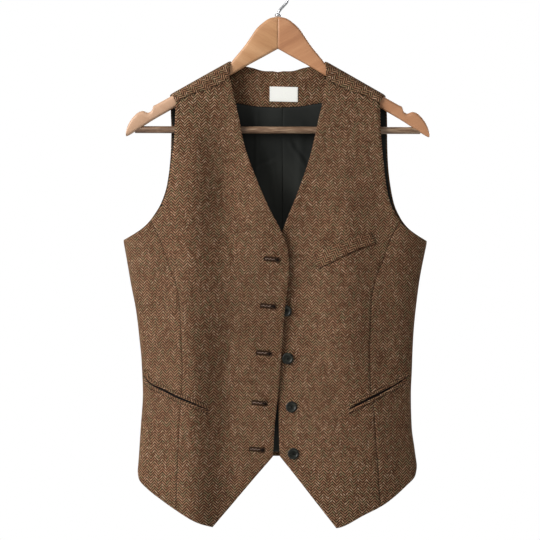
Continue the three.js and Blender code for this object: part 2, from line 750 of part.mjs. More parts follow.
buildPocket('right', rightFront, RIGHT_POCKET);
buildPocket('left', leftFront, LEFT_POCKET);

// Buttons stand on the left front, facing straight out of it. The profile runs from the middle of
// the underside, out round the rim and in over the dished face.
const BUTTON_PROFILE = table('radius height', [
  [0, 0], [6.4, 0], [7.8, 1.2], [7.8, 2.2], [7, 3.4], [5.9, 3.4], [5.1, 2.8], [0, 2.8],
]);

function buildButtons() {
  const { seat, sides } = BUTTON;
  const rim = BUTTON_PROFILE.radius.map((r, i) => new THREE.Vector2(r, BUTTON_PROFILE.height[i]));
  BUTTONS.x.forEach((x, i) => {
    const [turn, level] = onFront({ x, down: BUTTONS.down[i] });
    const foot = layered(leftFront, turn, level, -seat);
    const outward = foot.clone().sub(leftFront(turn, level)).normalize();
    const disc = new THREE.LatheGeometry(rim, sides);
    const button = addPiece(`button_${i + 1}`, disc, BUTTON_FINISH);
    button.position.copy(foot);
    button.quaternion.setFromUnitVectors(new THREE.Vector3(0, 1, 0), outward);
  });
}

buildButtons();

// A closed mesh with shared corners, as a solid that can be cut and joined.
function solidOf(geometry) {
  const bare = new THREE.BufferGeometry();
  bare.setAttribute('position', geometry.getAttribute('position'));
  if (geometry.index) bare.setIndex(geometry.index);
  const merged = mergeVertices(bare, 1e-4);
  return new wasm.Manifold(new wasm.Mesh({
    numProp: 3,
    vertProperties: new Float32Array(merged.getAttribute('position').array),
    triVerts: new Uint32Array(merged.index.array),
  }));
}

function geometryFrom(solid) {
  const mesh = solid.getMesh();
  const geometry = new THREE.BufferGeometry();
  geometry.setAttribute('position', new THREE.Float32BufferAttribute(mesh.vertProperties, 3));
  geometry.setIndex([...mesh.triVerts]);
  geometry.computeVertexNormals();
  return geometry;
}

function barAlongX(radius, from, to) {
  const bar = new THREE.CylinderGeometry(radius, radius, to - from, BAR.sides);
  return bar.rotateZ(Math.PI / 2).translate((from + to) / 2, 0, -BAR.down);
}

// One section through an arm: a board with well rounded edges, which take most of a thin section's height.
const EDGE_SHARE = 0.45;

function armSection(x, top, bottom) {
  const across = ARM_THICKNESS / 2 - ARM_ROUNDING;
  const rise = Math.min(ARM_EDGE_RISE, (bottom - top) * EDGE_SHARE);
  const points = [];
  for (const [ySign, zSign, first] of [[1, 1, 0], [-1, 1, 1], [-1, -1, 2], [1, -1, 3]]) {
    for (let k = 0; k <= 2; k += 1) {
      const angle = (first + k / 2) * Math.PI / 2;
      const z = zSign > 0 ? -top - rise : -bottom + rise;
      points.push(new THREE.Vector3(
        x, ySign * across + ARM_ROUNDING * Math.cos(angle), z + rise * Math.sin(angle),
      ));
    }
  }
  return points;
}

function buildArm(sign, side) {
  const sections = ARM.x.map((x, i) => armSection(sign * x, ARM.top[i], ARM.bottom[i]));
  const around = sections[0].length;
  const faces = [];
  for (let i = 0; i < sections.length - 1; i += 1) {
    for (let j = 0; j < around; j += 1) {
      const a = i * around + j;
      const b = i * around + (j + 1) % around;
      faces.push(a, b, b + around, a, b + around, a + around);
    }
  }
  const last = (sections.length - 1) * around;
  for (let j = 1; j < around - 1; j += 1) {
    faces.push(0, j + 1, j, last, last + j, last + j + 1);
  }
  const board = solidOf(geometryOf(sections.flat(), faces));
  const ends = [sign * BAR.socket, sign * (BAR.end + PIECE_GAP)].sort((a, b) => a - b);
  const socket = solidOf(barAlongX(BAR.radius + PIECE_GAP, ends[0], ends[1]));
  addPiece(`hanger_arm_${side}`, geometryFrom(board.subtract(socket)), WOOD_FINISH);
}

buildArm(-1, 'right');
buildArm(1, 'left');
addPiece('hanger_bar', barAlongX(BAR.radius, -BAR.end, BAR.end), BAR_FINISH);

// The hook: a wire with a ferrule at its foot, bent round above the middle of the hanger.
// It leaves the stem low on the wearer's left, and its open end points down on the wearer's right.
const STEM = table('x height', [[0, 0], [0, 6], [0.6, 13]]);
const HOOK_BEND = { start: -50, end: 205, steps: 15 };
const WIRE = { sides: 8, steps: 40 };

function buildHook() {
  const radius = HOOK_INNER_RADIUS + WIRE_RADIUS;
  const foot = -WOOD_TOP + PIECE_GAP;
  const route = STEM.x.map((x, i) => new THREE.Vector3(x, 0, foot + STEM.height[i]));
  for (let i = 0; i <= HOOK_BEND.steps; i += 1) {
    const angle = THREE.MathUtils.degToRad(
      THREE.MathUtils.lerp(HOOK_BEND.start, HOOK_BEND.end, i / HOOK_BEND.steps),
    );
    const rise = radius * Math.sin(angle) - HOOK_INNER_RADIUS;
    route.push(new THREE.Vector3(radius * Math.cos(angle), 0, rise));
  }
  const round = new THREE.Shape();
  for (let k = 0; k < WIRE.sides; k += 1) {
    const angle = 2 * Math.PI * k / WIRE.sides;
    const point = [WIRE_RADIUS * Math.cos(angle), WIRE_RADIUS * Math.sin(angle)];
    if (k === 0) round.moveTo(...point);
    else round.lineTo(...point);
  }
  const wire = new THREE.ExtrudeGeometry(round, {
    extrudePath: new THREE.CatmullRomCurve3(route, false, 'centripetal'),
    steps: WIRE.steps,
    curveSegments: 1,
  });
  const ferrule = new THREE.CylinderGeometry(FERRULE.radius, FERRULE.radius, FERRULE.height, FERRULE.sides);
  ferrule.rotateX(Math.PI / 2).translate(0, 0, foot + FERRULE.height / 2);
  addPiece('hanger_hook', geometryFrom(solidOf(wire).add(solidOf(ferrule))), WIRE_FINISH);
}

buildHook();

export default garment;
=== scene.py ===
"""A herringbone waistcoat on a wooden hanger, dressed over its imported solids.

Metres, +Z up. The front faces -Y and the wearer's right side is at -X.
"Down" is the distance below the rail that the hook hangs on, which is the origin.
"""
import math

import bmesh
import bpy
import numpy as np
from mathutils import Matrix, Vector


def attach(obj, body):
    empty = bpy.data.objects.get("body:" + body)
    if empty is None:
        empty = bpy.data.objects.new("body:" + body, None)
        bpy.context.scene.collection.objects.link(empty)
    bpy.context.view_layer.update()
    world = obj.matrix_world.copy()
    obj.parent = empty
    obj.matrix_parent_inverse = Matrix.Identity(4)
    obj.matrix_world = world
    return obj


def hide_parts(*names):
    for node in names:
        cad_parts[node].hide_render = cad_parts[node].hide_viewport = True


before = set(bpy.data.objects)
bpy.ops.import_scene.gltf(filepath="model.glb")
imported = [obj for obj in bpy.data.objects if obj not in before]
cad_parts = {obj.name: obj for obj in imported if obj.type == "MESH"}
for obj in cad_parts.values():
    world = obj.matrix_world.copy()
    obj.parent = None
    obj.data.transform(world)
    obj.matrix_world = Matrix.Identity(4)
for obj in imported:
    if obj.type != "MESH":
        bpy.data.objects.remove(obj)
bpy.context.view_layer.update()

# The fronts
# Each front is a centre and a side panel of brown herringbone tweed, joined at a princess seam that leaves
# the armhole. They are lined in black satin, their edges are turned and pressed, and the right one laps over.

MM = 0.001
CLOTH = 1.8 * MM
FOLD_RADIUS = 11 * MM
FOLD_ARC = FOLD_RADIUS * math.pi / 2
SHOULDER_ANGLE = math.radians(29.7)
SHOULDER_SLOPE = math.tan(SHOULDER_ANGLE)
NECK_POINT = (67.5 * MM, 124.5 * MM)
RIDGE_ROUNDING = 12 * MM
COLUMN_CROWDING, ROW_CROWDING = 0.55, 0.4
DRAPE_LENGTH = 30 * MM
UNDERARM = 379 * MM
UNDERARM_X = 215 * MM
ARMHOLE_TURN = 300 * MM
PRINCESS_TOP = 352 * MM


def table(names, rows, plain=()):
    """A short table in millimetres, whose first line names its columns. A plain column has no unit."""
    columns = dict(zip(names.split(), np.array(rows, float).T))
    return {name: column if name in plain else column * MM for name, column in columns.items()}


def through(keys, values):
    """A smooth line through the rows of a table that never swings past them."""
    rise = np.diff(values) / np.diff(keys)
    product, total = rise[:-1] * rise[1:], rise[:-1] + rise[1:]
    inner = np.where(product > 0, 2 * product / np.where(product > 0, total, 1), 0)
    tangent = np.concatenate([rise[:1], inner, rise[-1:]])

    def read(key):
        inside = np.clip(key, keys[0], keys[-1])
        i = np.clip(np.searchsorted(keys, inside, side="right") - 1, 0, len(keys) - 2)
        width = keys[i + 1] - keys[i]
        s = (inside - keys[i]) / width
        near = (1 + 2 * s) * (1 - s) ** 2 * values[i] + s * (1 - s) ** 2 * width * tangent[i]
        return near + s * s * (3 - 2 * s) * values[i + 1] + s * s * (s - 1) * width * tangent[i + 1]

    return read


def drawn(line):
    """The same through a drawn line of x and down, taken from 0 to 1 along its length."""
    lengths = np.concatenate([[0], np.cumsum(np.hypot(np.diff(line["x"]), np.diff(line["down"])))])
    x, down = through(lengths / lengths[-1], line["x"]), through(lengths / lengths[-1], line["down"])
    return lambda s: (x(s), down(s))


def smooth(share):
    share = np.clip(share, 0, 1)
    return share * share * (3 - 2 * share)


# The body's sections: half widths to the side seams, depths in front and behind, and squareness.
BODY = table("down right left front back square", [
    [110, 236, 236, 11, 11, 6], [187, 235, 235, 12.5, 12.5, 6], [222, 234, 234, 15.5, 15, 5],
    [260, 232, 231, 21, 18.5, 4], [300, 229, 227, 29, 22, 3.2], [340, 224, 220, 37.5, 25, 2.8],
    [379, 218, 212.5, 42, 26.5, 2.6], [437, 207.6, 201, 45, 27, 2.6], [477, 199.8, 196.5, 44, 26, 2.6],
    [514, 195.3, 193.6, 40, 25, 2.6], [551, 191.4, 191.6, 37, 24, 2.6], [595, 190, 190.4, 36, 24, 2.6],
    [641, 192.4, 191.5, 39, 25, 2.6], [677, 194.5, 196.4, 42, 26, 2.6], [709, 197, 201, 43, 26, 2.6],
    [750, 200, 203, 42, 26, 2.6], [795, 202, 205, 40, 26, 2.6],
], plain=("square",))

# How far the right front stands off over the left one and its buttons, and the left one tucks under.
LAP = table("down lift tuck", [
    [230, 0, 0], [300, 1.6, 0.3], [350, 4.2, 1.2], [385, 5.4, 1.5], [490, 5.4, 1.5], [560, 4, 1.2],
    [620, 3, 0.8], [700, 2.2, 0.4], [795, 1.2, 0],
])
LIFT_FADE = (-115 * MM, -15 * MM)
TUCK_FADE = (75 * MM, 5 * MM)

right_half, left_half = through(BODY["down"], BODY["right"]), through(BODY["down"], BODY["left"])
front_depth, back_depth = through(BODY["down"], BODY["front"]), through(BODY["down"], BODY["back"])
squareness = through(BODY["down"], BODY["square"])
lap_lift, lap_tuck = through(LAP["down"], LAP["lift"]), through(LAP["down"], LAP["tuck"])
RIDGE_TOP = NECK_POINT[1] - SHOULDER_SLOPE * math.hypot(NECK_POINT[0], RIDGE_ROUNDING)


def ridge_down(x):
    return RIDGE_TOP + SHOULDER_SLOPE * np.hypot(x, RIDGE_ROUNDING)


def half_width(sign, down):
    return np.where(np.asarray(sign) < 0, right_half(down), left_half(down))


def turn_of(x, down):
    """How far round the section a point lies: 0 in the middle, -1 and 1 at the side seams."""
    return np.arcsin(np.clip(x / half_width(x, down), -1, 1)) / (math.pi / 2)


def crown(share, down):
    power = squareness(down)
    return np.maximum(0, 1 - np.abs(share) ** power) ** (1 / power)


def reach(depth, drop, down):
    """How far the cloth stands out from the shoulder's ridge at a drop below it."""
    rounded = np.sqrt(np.maximum(0, FOLD_RADIUS ** 2 - (FOLD_RADIUS - drop) ** 2))
    over_fold = np.where(drop < FOLD_RADIUS, rounded, FOLD_RADIUS)
    return over_fold + (depth(down) - FOLD_RADIUS) * smooth(drop / DRAPE_LENGTH)


def front_surface(stand_off):
    """The outside of a front at a turn round the section and a distance down."""
    def place(turn, down):
        half = half_width(turn, down)
        x = half * np.sin(turn * math.pi / 2)
        depth = reach(front_depth, down - ridge_down(x), down) * crown(x / half, down)
        return np.stack(np.broadcast_arrays(x, -depth - stand_off(x, down), -down), axis=-1)
    return place


def fade(x, span):
    return smooth((x - span[0]) / (span[1] - span[0]))


right_front = front_surface(lambda x, down: lap_lift(down) * fade(x, LIFT_FADE))
left_front = front_surface(lambda x, down: -lap_tuck(down) * fade(x, TUCK_FADE))


def on_front(x, down):
    return np.stack(np.broadcast_arrays(turn_of(x, down), down))


def outward_of(surface, turn, level):
    """The direction square to a surface, away from the body."""
    turn_step, level_step = 4e-4, 0.05 * MM
    near = np.clip(turn, -0.999, 0.999)
    across = surface(near + turn_step, level) - surface(near - turn_step, level)
    along = surface(near, level + level_step) - surface(near, level - level_step)
    outward = np.cross(across, along)
    outward /= np.linalg.norm(outward, axis=-1, keepdims=True)
    point = surface(turn, level)
    facing = outward[..., 0] * point[..., 0] + outward[..., 1] * point[..., 1]
    return outward * np.where(facing < 0, -1, 1)[..., None]


def filled(inner, outer, top, bottom):
    """The space between four border lines, each a function from 0 to 1."""
    def place(u, v):
        sides = (1 - u) * inner(v) + u * outer(v) + (1 - v) * top(u) + v * bottom(u)
        upper = (1 - v) * ((1 - u) * top(np.zeros_like(u)) + u * top(np.ones_like(u)))
        lower = v * ((1 - u) * bottom(np.zeros_like(u)) + u * bottom(np.ones_like(u)))
        return sides - upper - lower
    return place


def crowded(share, amount):
    """Shares from 0 to 1 moved closer together near both ends, where cloth turns or is seamed."""
    return share - amount * np.sin(2 * math.pi * share) / (2 * math.pi)


def stations(levels, counts):
    """Levels down a panel, with named stretches between them that take so many rows each.

    A panel has a multiple of those rows, so that one falls on each level and corners stay sharp."""
    marks = crowded(np.concatenate([[0], np.cumsum(counts)]) / sum(counts), ROW_CROWDING)
    return lambda v: np.interp(v, marks, levels)


RIPPLE = 0.35 * MM


def relief_of(folds):
    """Soft troughs and ridges along lines from x, down to to_x, to_down: how far they stand out."""
    def stand_out(x, down):
        total = RIPPLE * np.sin(x * 61 + down * 17) * np.sin(down * 43 - x * 29 + 1.3)
        for x0, down0, x1, down1, width, height in zip(*folds.values()):
            run = np.array([x1 - x0, down1 - down0])
            share = ((x - x0) * run[0] + (down - down0) * run[1]) / (run @ run)
            off = ((x - x0) * run[1] - (down - down0) * run[0]) / np.hypot(*run)
            ends = smooth(share * 4) * smooth((1 - share) * 4)
            total = total + height * np.exp(-(off / width) ** 2) * ends
        return total
    return stand_out


def round_distance(surface, turn, level):
    """Distance round the section from the middle, where the cloth's stripes are counted from."""
    shares = np.linspace(0, 1, 25).reshape(-1, 1, 1)
    points = surface(shares * turn, level + 0 * shares)
    return np.sign(turn) * np.linalg.norm(np.diff(points, axis=0)[..., :2], axis=-1).sum(axis=0)


# How deep a border sinks and over what width, and how far a seam goes on under its neighbour.
SEAM = (0.9 * MM, 1.7 * MM, 0.8 * MM)
EDGE = (0.7 * MM, 2.2 * MM)
BORDERS = {"inner": np.s_[:, :2], "outer": np.s_[:, :-3:-1], "top": np.s_[:2], "bottom": np.s_[:-3:-1]}


def eased(piece, width, segments, corner):
    """Corners of a piece sharper than so many degrees, rounded a little."""
    soft = piece.modifiers.new("eased corners", "BEVEL")
    soft.width, soft.segments = width, segments
    soft.limit_method, soft.angle_limit = "ANGLE", math.radians(corner)


def cloth_piece(name, surface, outline, cells, finishes, wall, faces, edges, relief=None, depth=0.0,
                round_edge=0.5 * MM, grain=0.0, laid=None):
    """A sheet of cloth on a surface: a grid moved to its place, sunk at its seams and pressed edges.

    The cloth's own directions run round the body and down it, unless laid changes them."""
    columns, rows = cells
    u, v = np.meshgrid(crowded(np.linspace(0, 1, columns + 1), COLUMN_CROWDING),
                       crowded(np.linspace(0, 1, rows + 1), ROW_CROWDING))
    turn, level = outline(u, v)
    points = surface(turn, level)
    outward = outward_of(surface, turn, level)
    along_row = np.linalg.norm(np.diff(points, axis=1), axis=-1).cumsum(axis=1)
    along_column = np.linalg.norm(np.diff(points, axis=0), axis=-1).cumsum(axis=0)
    inner = np.pad(along_row, ((0, 0), (1, 0)))
    top = np.pad(along_column, ((1, 0), (0, 0)))
    distances = {"inner": inner, "outer": inner[:, -1:] - inner, "top": top, "bottom": top[-1:] - top}
    raised = np.full_like(u, -depth)
    for side, (sink, width, *_) in edges.items():
        raised -= sink * np.exp(-(distances[side] / width) ** 2)
    if relief:
        raised += relief(points[..., 0], -points[..., 2])
    about, below = round_distance(surface, turn, level), level
    if laid:
        about, below = laid(about, below, points[..., 0])
    cloth = np.stack([about * math.cos(grain) - below * math.sin(grain),
                      about * math.sin(grain) + below * math.cos(grain)], axis=-1)
    points = points + outward * raised[..., None]
    for side, (_, _, *overlap) in edges.items():
        border = points[BORDERS[side]] if side in ("top", "bottom") else points[BORDERS[side]].swapaxes(0, 1)
        beyond = border[0] - border[1]
        reached = np.array([lap(border[0]) if callable(lap) else lap for lap in overlap]).sum(axis=0)
        border[0] += beyond / np.linalg.norm(beyond, axis=-1, keepdims=True) * np.reshape(reached, (-1, 1))

    form = bmesh.new()
    bmesh.ops.create_grid(form, x_segments=columns, y_segments=rows, size=0.5)
    mesh = bpy.data.meshes.new(name)
    form.to_mesh(mesh)
    form.free()
    flat = np.empty(len(mesh.vertices) * 3)
    mesh.vertices.foreach_get("co", flat)
    flat = flat.reshape(-1, 3) + 0.5
    place = (np.rint((1 - flat[:, 1]) * rows).astype(int), np.rint(flat[:, 0] * columns).astype(int))
    mesh.vertices.foreach_set("co", points[place].ravel())
    corners = np.empty(len(mesh.loops), int)
    mesh.loops.foreach_get("vertex_index", corners)
    mesh.uv_layers.new(name="cloth").data.foreach_set("uv", cloth[place][corners].ravel())
    mesh.update()
    if sum(face.normal.dot(Vector(faces)) * face.area for face in mesh.polygons) < 0:
        mesh.flip_normals()
    mesh.shade_smooth()
    for finish in finishes:
        mesh.materials.append(finish)
    piece = bpy.data.objects.new(name, mesh)
    bpy.context.collection.objects.link(piece)
    thick = piece.modifiers.new("thickness", "SOLIDIFY")
    thick.thickness, thick.offset, thick.use_even_offset = wall, -1, True
    thick.material_offset = len(finishes) - 1
    if round_edge:
        eased(piece, round_edge, 2, 50)
    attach(piece, "root")
    return piece


class Value:
    """The output of a shader node. Arithmetic on it adds Math nodes."""

    def __init__(self, finish, socket):
        self.finish, self.socket = finish, socket

    def maths(self, operation, *others):
        inputs = dict(enumerate([self, *others]))
        return self.finish.add("ShaderNodeMath", {"operation": operation}, inputs)

    def __add__(self, other):
        return self.maths("ADD", other)

    def __mul__(self, other):
        return self.maths("MULTIPLY", other)

    def __sub__(self, other):
        return self.maths("SUBTRACT", other)

    def __rsub__(self, other):
        return self.finish.add("ShaderNodeMath", {"operation": "SUBTRACT"}, {0: other, 1: self})

    def __truediv__(self, other):
        return self.maths("DIVIDE", other)

    __radd__, __rmul__ = __add__, __mul__


class Finish:
    """A material whose nodes are added one by one, with their settings first and then their sockets."""

    def __init__(self, name):
        self.material = bpy.data.materials.new(name)
        self.material.use_nodes = True
        self.tree = self.material.node_tree
        self.tree.nodes.clear()

    def add(self, kind, settings=None, sockets=None, output=0):
        node = self.tree.nodes.new(kind)
        for key, value in (settings or {}).items():
            if key == "stops":
                for extra in range(len(value) - 2):
                    node.color_ramp.elements.new(0.5)
                for element, (place, colour) in zip(node.color_ramp.elements, value):
                    element.position, element.color = place, (*colour, 1)
            else:
                setattr(node, key, value)
        for key, value in (sockets or {}).items():
            if isinstance(value, Value):
                self.tree.links.new(value.socket, node.inputs[key])
            elif isinstance(value, tuple) and node.inputs[key].type == "RGBA":
                node.inputs[key].default_value = (*value, 1)
            else:
                node.inputs[key].default_value = value
        return Value(self, node.outputs[output])

    def object_place(self):
        return self.add("ShaderNodeTexCoord", output=3)

    def cloth_place(self):
        return self.add("ShaderNodeUVMap", {"uv_map": "cloth"})

    def part(self, place, axis):
        return self.add("ShaderNodeSeparateXYZ", sockets={0: place}, output=axis)

    def stretched(self, place, *scale):
        return self.add("ShaderNodeMapping", sockets={"Vector": place, "Scale": scale})

    def scaled(self, vector, factor):
        """A colour or a place times a number."""
        return self.add("ShaderNodeVectorMath", {"operation": "SCALE"}, {0: vector, "Scale": factor})

    def noise(self, place, scale=1.0, detail=2.0, dimensions="3D", roughness=0.5):
        return self.add("ShaderNodeTexNoise", {"noise_dimensions": dimensions},
                        {"Vector": place, "Scale": scale, "Detail": detail, "Roughness": roughness})

    def ramp(self, factor, *stops):
        return self.add("ShaderNodeValToRGB", {"stops": stops}, {0: factor})

    def bump(self, height, strength, distance):
        sockets = {"Height": height, "Strength": strength, "Distance": distance}
        return self.add("ShaderNodeBump", sockets=sockets)

    def step(self, value, low, high):
        return self.add("ShaderNodeMapRange", {"interpolation_type": "SMOOTHSTEP"},
                        {"Value": value, "From Min": low, "From Max": high})

    def blend(self, factor, first, second):
        return self.add("ShaderNodeMix", {"data_type": "RGBA"}, {0: factor, 6: first, 7: second}, output=2)

    def shade(self, **sockets):
        names = {key.replace("_", " "): value for key, value in sockets.items()}
        surface = self.add("ShaderNodeBsdfPrincipled", sockets=names)
        output = self.tree.nodes.new("ShaderNodeOutputMaterial")
        self.tree.links.new(surface.socket, output.inputs["Surface"])
        return self.material


# The yarns' pitch, the yarns in a stripe of the herringbone, and how far they stray, in yarns.
YARN = 1.0 * MM
STRIPE = 6
WARP_STRAY, WEFT_STRAY = 1.6, 0.8


def tweed(name):
    """Brown wool tweed in a 2 and 2 herringbone: tan, pinkish and grey-green flecked warp on a dark weft,
    with painted shade between the yarns.
    """
    wool = Finish(name)
    yarns = wool.scaled(wool.cloth_place(), 1 / YARN)
    across, along = wool.part(yarns, 0), wool.part(yarns, 1)
    stray, drift = wool.noise(yarns, 0.11, dimensions="2D"), wool.noise(yarns, 0.9, dimensions="2D")
    across_drift = across + (stray - 0.5) * WARP_STRAY
    zigzag = across_drift.maths("PINGPONG", STRIPE)
    reversal = (across_drift / STRIPE).maths("FLOOR").maths("PINGPONG", 1)
    rise = along + zigzag + reversal + (drift - 0.5) * WEFT_STRAY
    line = rise.maths("PINGPONG", 2)
    warp = wool.step(line, 0.7, 1.3)
    column, pick = (across_drift / 2).maths("FLOOR"), (rise / 4).maths("FLOOR")
    cell = wool.add("ShaderNodeCombineXYZ", sockets={0: column, 1: pick})
    dice = wool.add("ShaderNodeTexWhiteNoise", {"noise_dimensions": "2D"}, {"Vector": cell})
    pick_cell = wool.add("ShaderNodeCombineXYZ",
                         sockets={0: (across_drift / 5).maths("FLOOR"), 1: along.maths("FLOOR")})
    weft_dice = wool.add("ShaderNodeTexWhiteNoise", {"noise_dimensions": "2D"}, {"Vector": pick_cell})
    warp_colour = wool.ramp(
        dice, (0.0, (0.120, 0.056, 0.027)), (0.25, (0.205, 0.100, 0.054)), (0.5, (0.255, 0.141, 0.078)),
        (0.72, (0.165, 0.124, 0.064)), (0.9, (0.310, 0.172, 0.103)), (1.0, (0.380, 0.255, 0.168)))
    weft_colour = wool.ramp(
        weft_dice, (0.0, (0.010, 0.005, 0.002)), (0.6, (0.024, 0.012, 0.006)), (1.0, (0.056, 0.030, 0.016)))
    warp_round = (across_drift.maths("FRACT") * math.pi).maths("SINE")
    weft_round = (along.maths("FRACT") * math.pi).maths("SINE")
    woven = wool.blend(warp, weft_colour, warp_colour)
    height = warp * (0.55 + 0.45 * warp_round) + (1 - warp) * 0.45 * weft_round
    cloud, hair = wool.noise(yarns, 0.035, dimensions="2D"), wool.noise(yarns, 3.1, 3.0, "2D")
    # The colour is darkened on the yarns' flanks and on the weft as painted shade between the yarns, and
    # varied at random in clouds and hairs.
    yarn_shade_and_tone = (0.62 + 0.5 * height) * (0.86 + 0.28 * cloud) * (0.95 + 0.1 * hair)
    bump = wool.bump(height + hair * 0.15, 0.4, 0.4 * MM)
    return wool.shade(Base_Color=wool.scaled(woven, yarn_shade_and_tone), Roughness=0.9, Normal=bump, Specular_IOR_Level=0.12)


def satin(name):
    """Black lining satin with a fine warp and a soft uneven sheen, painted paler further down as painted
    light where the fronts shade it.
    """
    silk = Finish(name)
    place = silk.cloth_place()
    fine = silk.noise(silk.stretched(place, 9000.0, 900.0, 1.0), dimensions="2D")
    patch = silk.noise(place, 22.0, 3.0, "2D")
    # Paler below about 150 to 230 mm down the cloth, as painted light in the hollow behind the fronts.
    painted_light_below = silk.step(silk.part(place, 1), 150 * MM, 230 * MM)
    tone_and_painted_light = patch * 0.3 + fine * 0.1 + painted_light_below * 0.55
    return silk.shade(Base_Color=silk.blend(tone_and_painted_light, (0.010, 0.011, 0.0105), (0.052, 0.054, 0.048)),
                      Roughness=0.42 + 0.16 * patch, Normal=silk.bump(fine, 0.15, 0.1 * MM),
                      Specular_IOR_Level=0.08)


def thread(name, dark, pale):
    """Polished sewing thread, with its twist as a fine change of shade."""
    twist = Finish(name)
    ply = twist.noise(twist.object_place(), 2600.0, 1.0)
    return twist.shade(Base_Color=twist.blend(ply, dark, pale), Roughness=0.8, Specular_IOR_Level=0.1)


def built(name, form, finish):
    """A piece of one material from a form that is ready."""
    mesh = bpy.data.meshes.new(name)
    form.to_mesh(mesh)
    form.free()
    mesh.shade_smooth()
    mesh.materials.append(finish)
    piece = bpy.data.objects.new(name, mesh)
    bpy.context.collection.objects.link(piece)
    return piece


def stitches(name, finish, lines):
    """A row of stitches as one piece. Each line gives a stitch's middle, run, outward side and sizes."""
    form = bmesh.new()
    for middle, run, outward, length, thickness in lines:
        x_axis, z_axis = Vector(run).normalized(), Vector(outward).normalized()
        turned = Matrix((x_axis, z_axis.cross(x_axis), z_axis)).transposed().to_4x4()
        size = Matrix.Diagonal((length / 2, thickness / 2, thickness / 2, 1))
        bmesh.ops.create_uvsphere(form, u_segments=6, v_segments=5, radius=1,
                                  matrix=Matrix.Translation(middle) @ turned @ size)
    piece = built(name, form, finish)
    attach(piece, "root")


TWEED, SATIN = tweed("tweed"), satin("lining")
THREAD = thread("brown thread", (0.016, 0.008, 0.004), (0.05, 0.026, 0.014))


# Neck and front edges, from the shoulder seam past the corner of the cutaway to the lowest point.
RIGHT_EDGE = table("down x", [
    [149, -68], [180, -60.6], [207, -54.4], [240, -47.9], [287, -31.5], [332, -11.9], [366, 6],
    [387, 14.1], [410, 16.8], [432, 16.3], [472, 11.6], [530, 7.1], [599, 1.7], [640, -2.8], [683, -5.3],
    [686, -7.6], [700, -19.6], [783.5, -90],
])
LEFT_EDGE = table("down x", [
    [149, 68], [174, 65], [212, 56.5], [256, 46.7], [309, 28.8], [355, 10.8], [391, -2.8], [420, -5],
    [462, -4.3], [519, -2], [609, 2.1], [682, 4.3], [685, 6.4], [699, 17.4], [784, 84.5],
])
CUTAWAY_CORNER = 683 * MM
RIGHT_HEM = table("x down", [
    [-90, 783.5], [-109, 777], [-140.6, 759.5], [-160, 747], [-183, 730], [-195.2, 717], [-197, 709],
])
LEFT_HEM = table("x down", [
    [84.5, 784], [90.7, 782.5], [122, 766], [146.3, 754], [156, 748], [185, 724.5], [197.5, 711],
    [201, 700],
])
RIGHT_PRINCESS = table("down x", [
    [377, -166], [413, -152], [442, -141], [472, -136], [522, -133.5], [566, -132], [635, -136],
    [706, -139], [759.5, -140.6],
])
LEFT_PRINCESS = table("down x", [
    [370, 163], [400, 152], [442, 136.7], [461, 133], [496, 132], [531, 130.6], [579, 131.4],
    [625, 137.3], [660, 139.2], [711, 143.4], [754, 146.3],
])
FRONT_ARMHOLE = table("down x", [
    [184, 144], [222, 145], [249, 147], [276, 150], [300, 153], [326, 160], [347, 172], [360, 184],
    [371, 200], [379, 215],
])
SHOULDER_SEAM = table("x down", [[68, 149], [90, 162.6], [116, 171], [144, 184]])
FRONT_ROWS = (5, 4, 14, 4)
UPPER_LEVEL, NECK_LEVEL, WAIST_LEVEL = 292 * MM, 345 * MM, 690 * MM

front_armhole = through(FRONT_ARMHOLE["down"], FRONT_ARMHOLE["x"])
seam_line = drawn(SHOULDER_SEAM)


def side_shift(sign, down):
    return (half_width(sign, UNDERARM) - UNDERARM_X) * fade(down, (ARMHOLE_TURN, UNDERARM))


def front_armhole_x(sign, down):
    return sign * (front_armhole(down) + side_shift(sign, down))


def shoulder_seam(sign, u):
    x, down = seam_line(u)
    return sign * x, down


def hem_share_at(hem_line, x):
    """The share of a hem's length at which it crosses a seam."""
    low, high = 0.0, 1.0
    for _ in range(40):
        middle = (low + high) / 2
        low, high = (middle, high) if abs(hem_line(middle)[0]) < abs(x) else (low, middle)
    return (low + high) / 2


# Dashes of a seam: their pitch, the shares of it that they run over and are long, depth and width.
SEAM_PITCH, DASH_RUN, DASH_LENGTH = 2.7 * MM, 0.6, 0.78
DASH_SUNK, DASH_WIDTH = 0.65 * MM, 1.2 * MM
SHOULDER_SEAM_LENGTH = 84 * MM

# Where the cloth has settled into soft troughs and ridges. The same lines shape both fronts, so that they
# lie closely on each other where they lap.
FRONT_FOLDS = table("x down to_x to_down width height", [
    [-126, 186, -122, 640, 31, 9.5], [-118, 520, -115, 960, 30, 11.5], [-80, 170, -72, 420, 30, -3],
    [-66, 190, -62, 620, 30, -6.5], [-72, 470, -70, 970, 32, -10], [0, 300, -12, 960, 50, -12.5],
    [44, 230, 40, 640, 30, -4.5], [96, 230, 100, 600, 22, 2], [108, 430, 116, 960, 36, 3.5],
    [146, 210, 148, 600, 26, -3], [176, 560, 184, 800, 17, -2],
    [-124, 325, -28, 415, 12, -1.2], [-60, 470, 8, 486, 9, -0.9], [-30, 560, -140, 640, 16, 0.9],
    [130, 330, 40, 300, 13, 0.8], [20, 640, 120, 700, 14, -1], [20, 440, 70, 470, 9, -0.8],
])
front_relief = relief_of(FRONT_FOLDS)


def point_on(surface, x, down, height):
    """A point over a front, with the direction outward."""
    turn, level = on_front(np.array(x), np.array(down))
    outward = outward_of(surface, turn, level)
    return Vector(surface(turn, level) + outward * (front_relief(x, down) + height)), Vector(outward)


def seam_row(name, surface, line, length, sunk=DASH_SUNK, width=DASH_WIDTH):
    """Dark dashes down a seam, where the pull of its stitches dimples the cloth."""
    count, lines = int(length / SEAM_PITCH), []
    for k in range(count):
        (x0, down0), (x1, down1) = line(k / count), line((k + DASH_RUN) / count)
        point, outward = point_on(surface, (x0 + x1) / 2, (down0 + down1) / 2, -sunk)
        lines.append((point, Vector((x1 - x0, 0, down0 - down1)), outward, SEAM_PITCH * DASH_LENGTH, width))
    stitches(name, THREAD, lines)


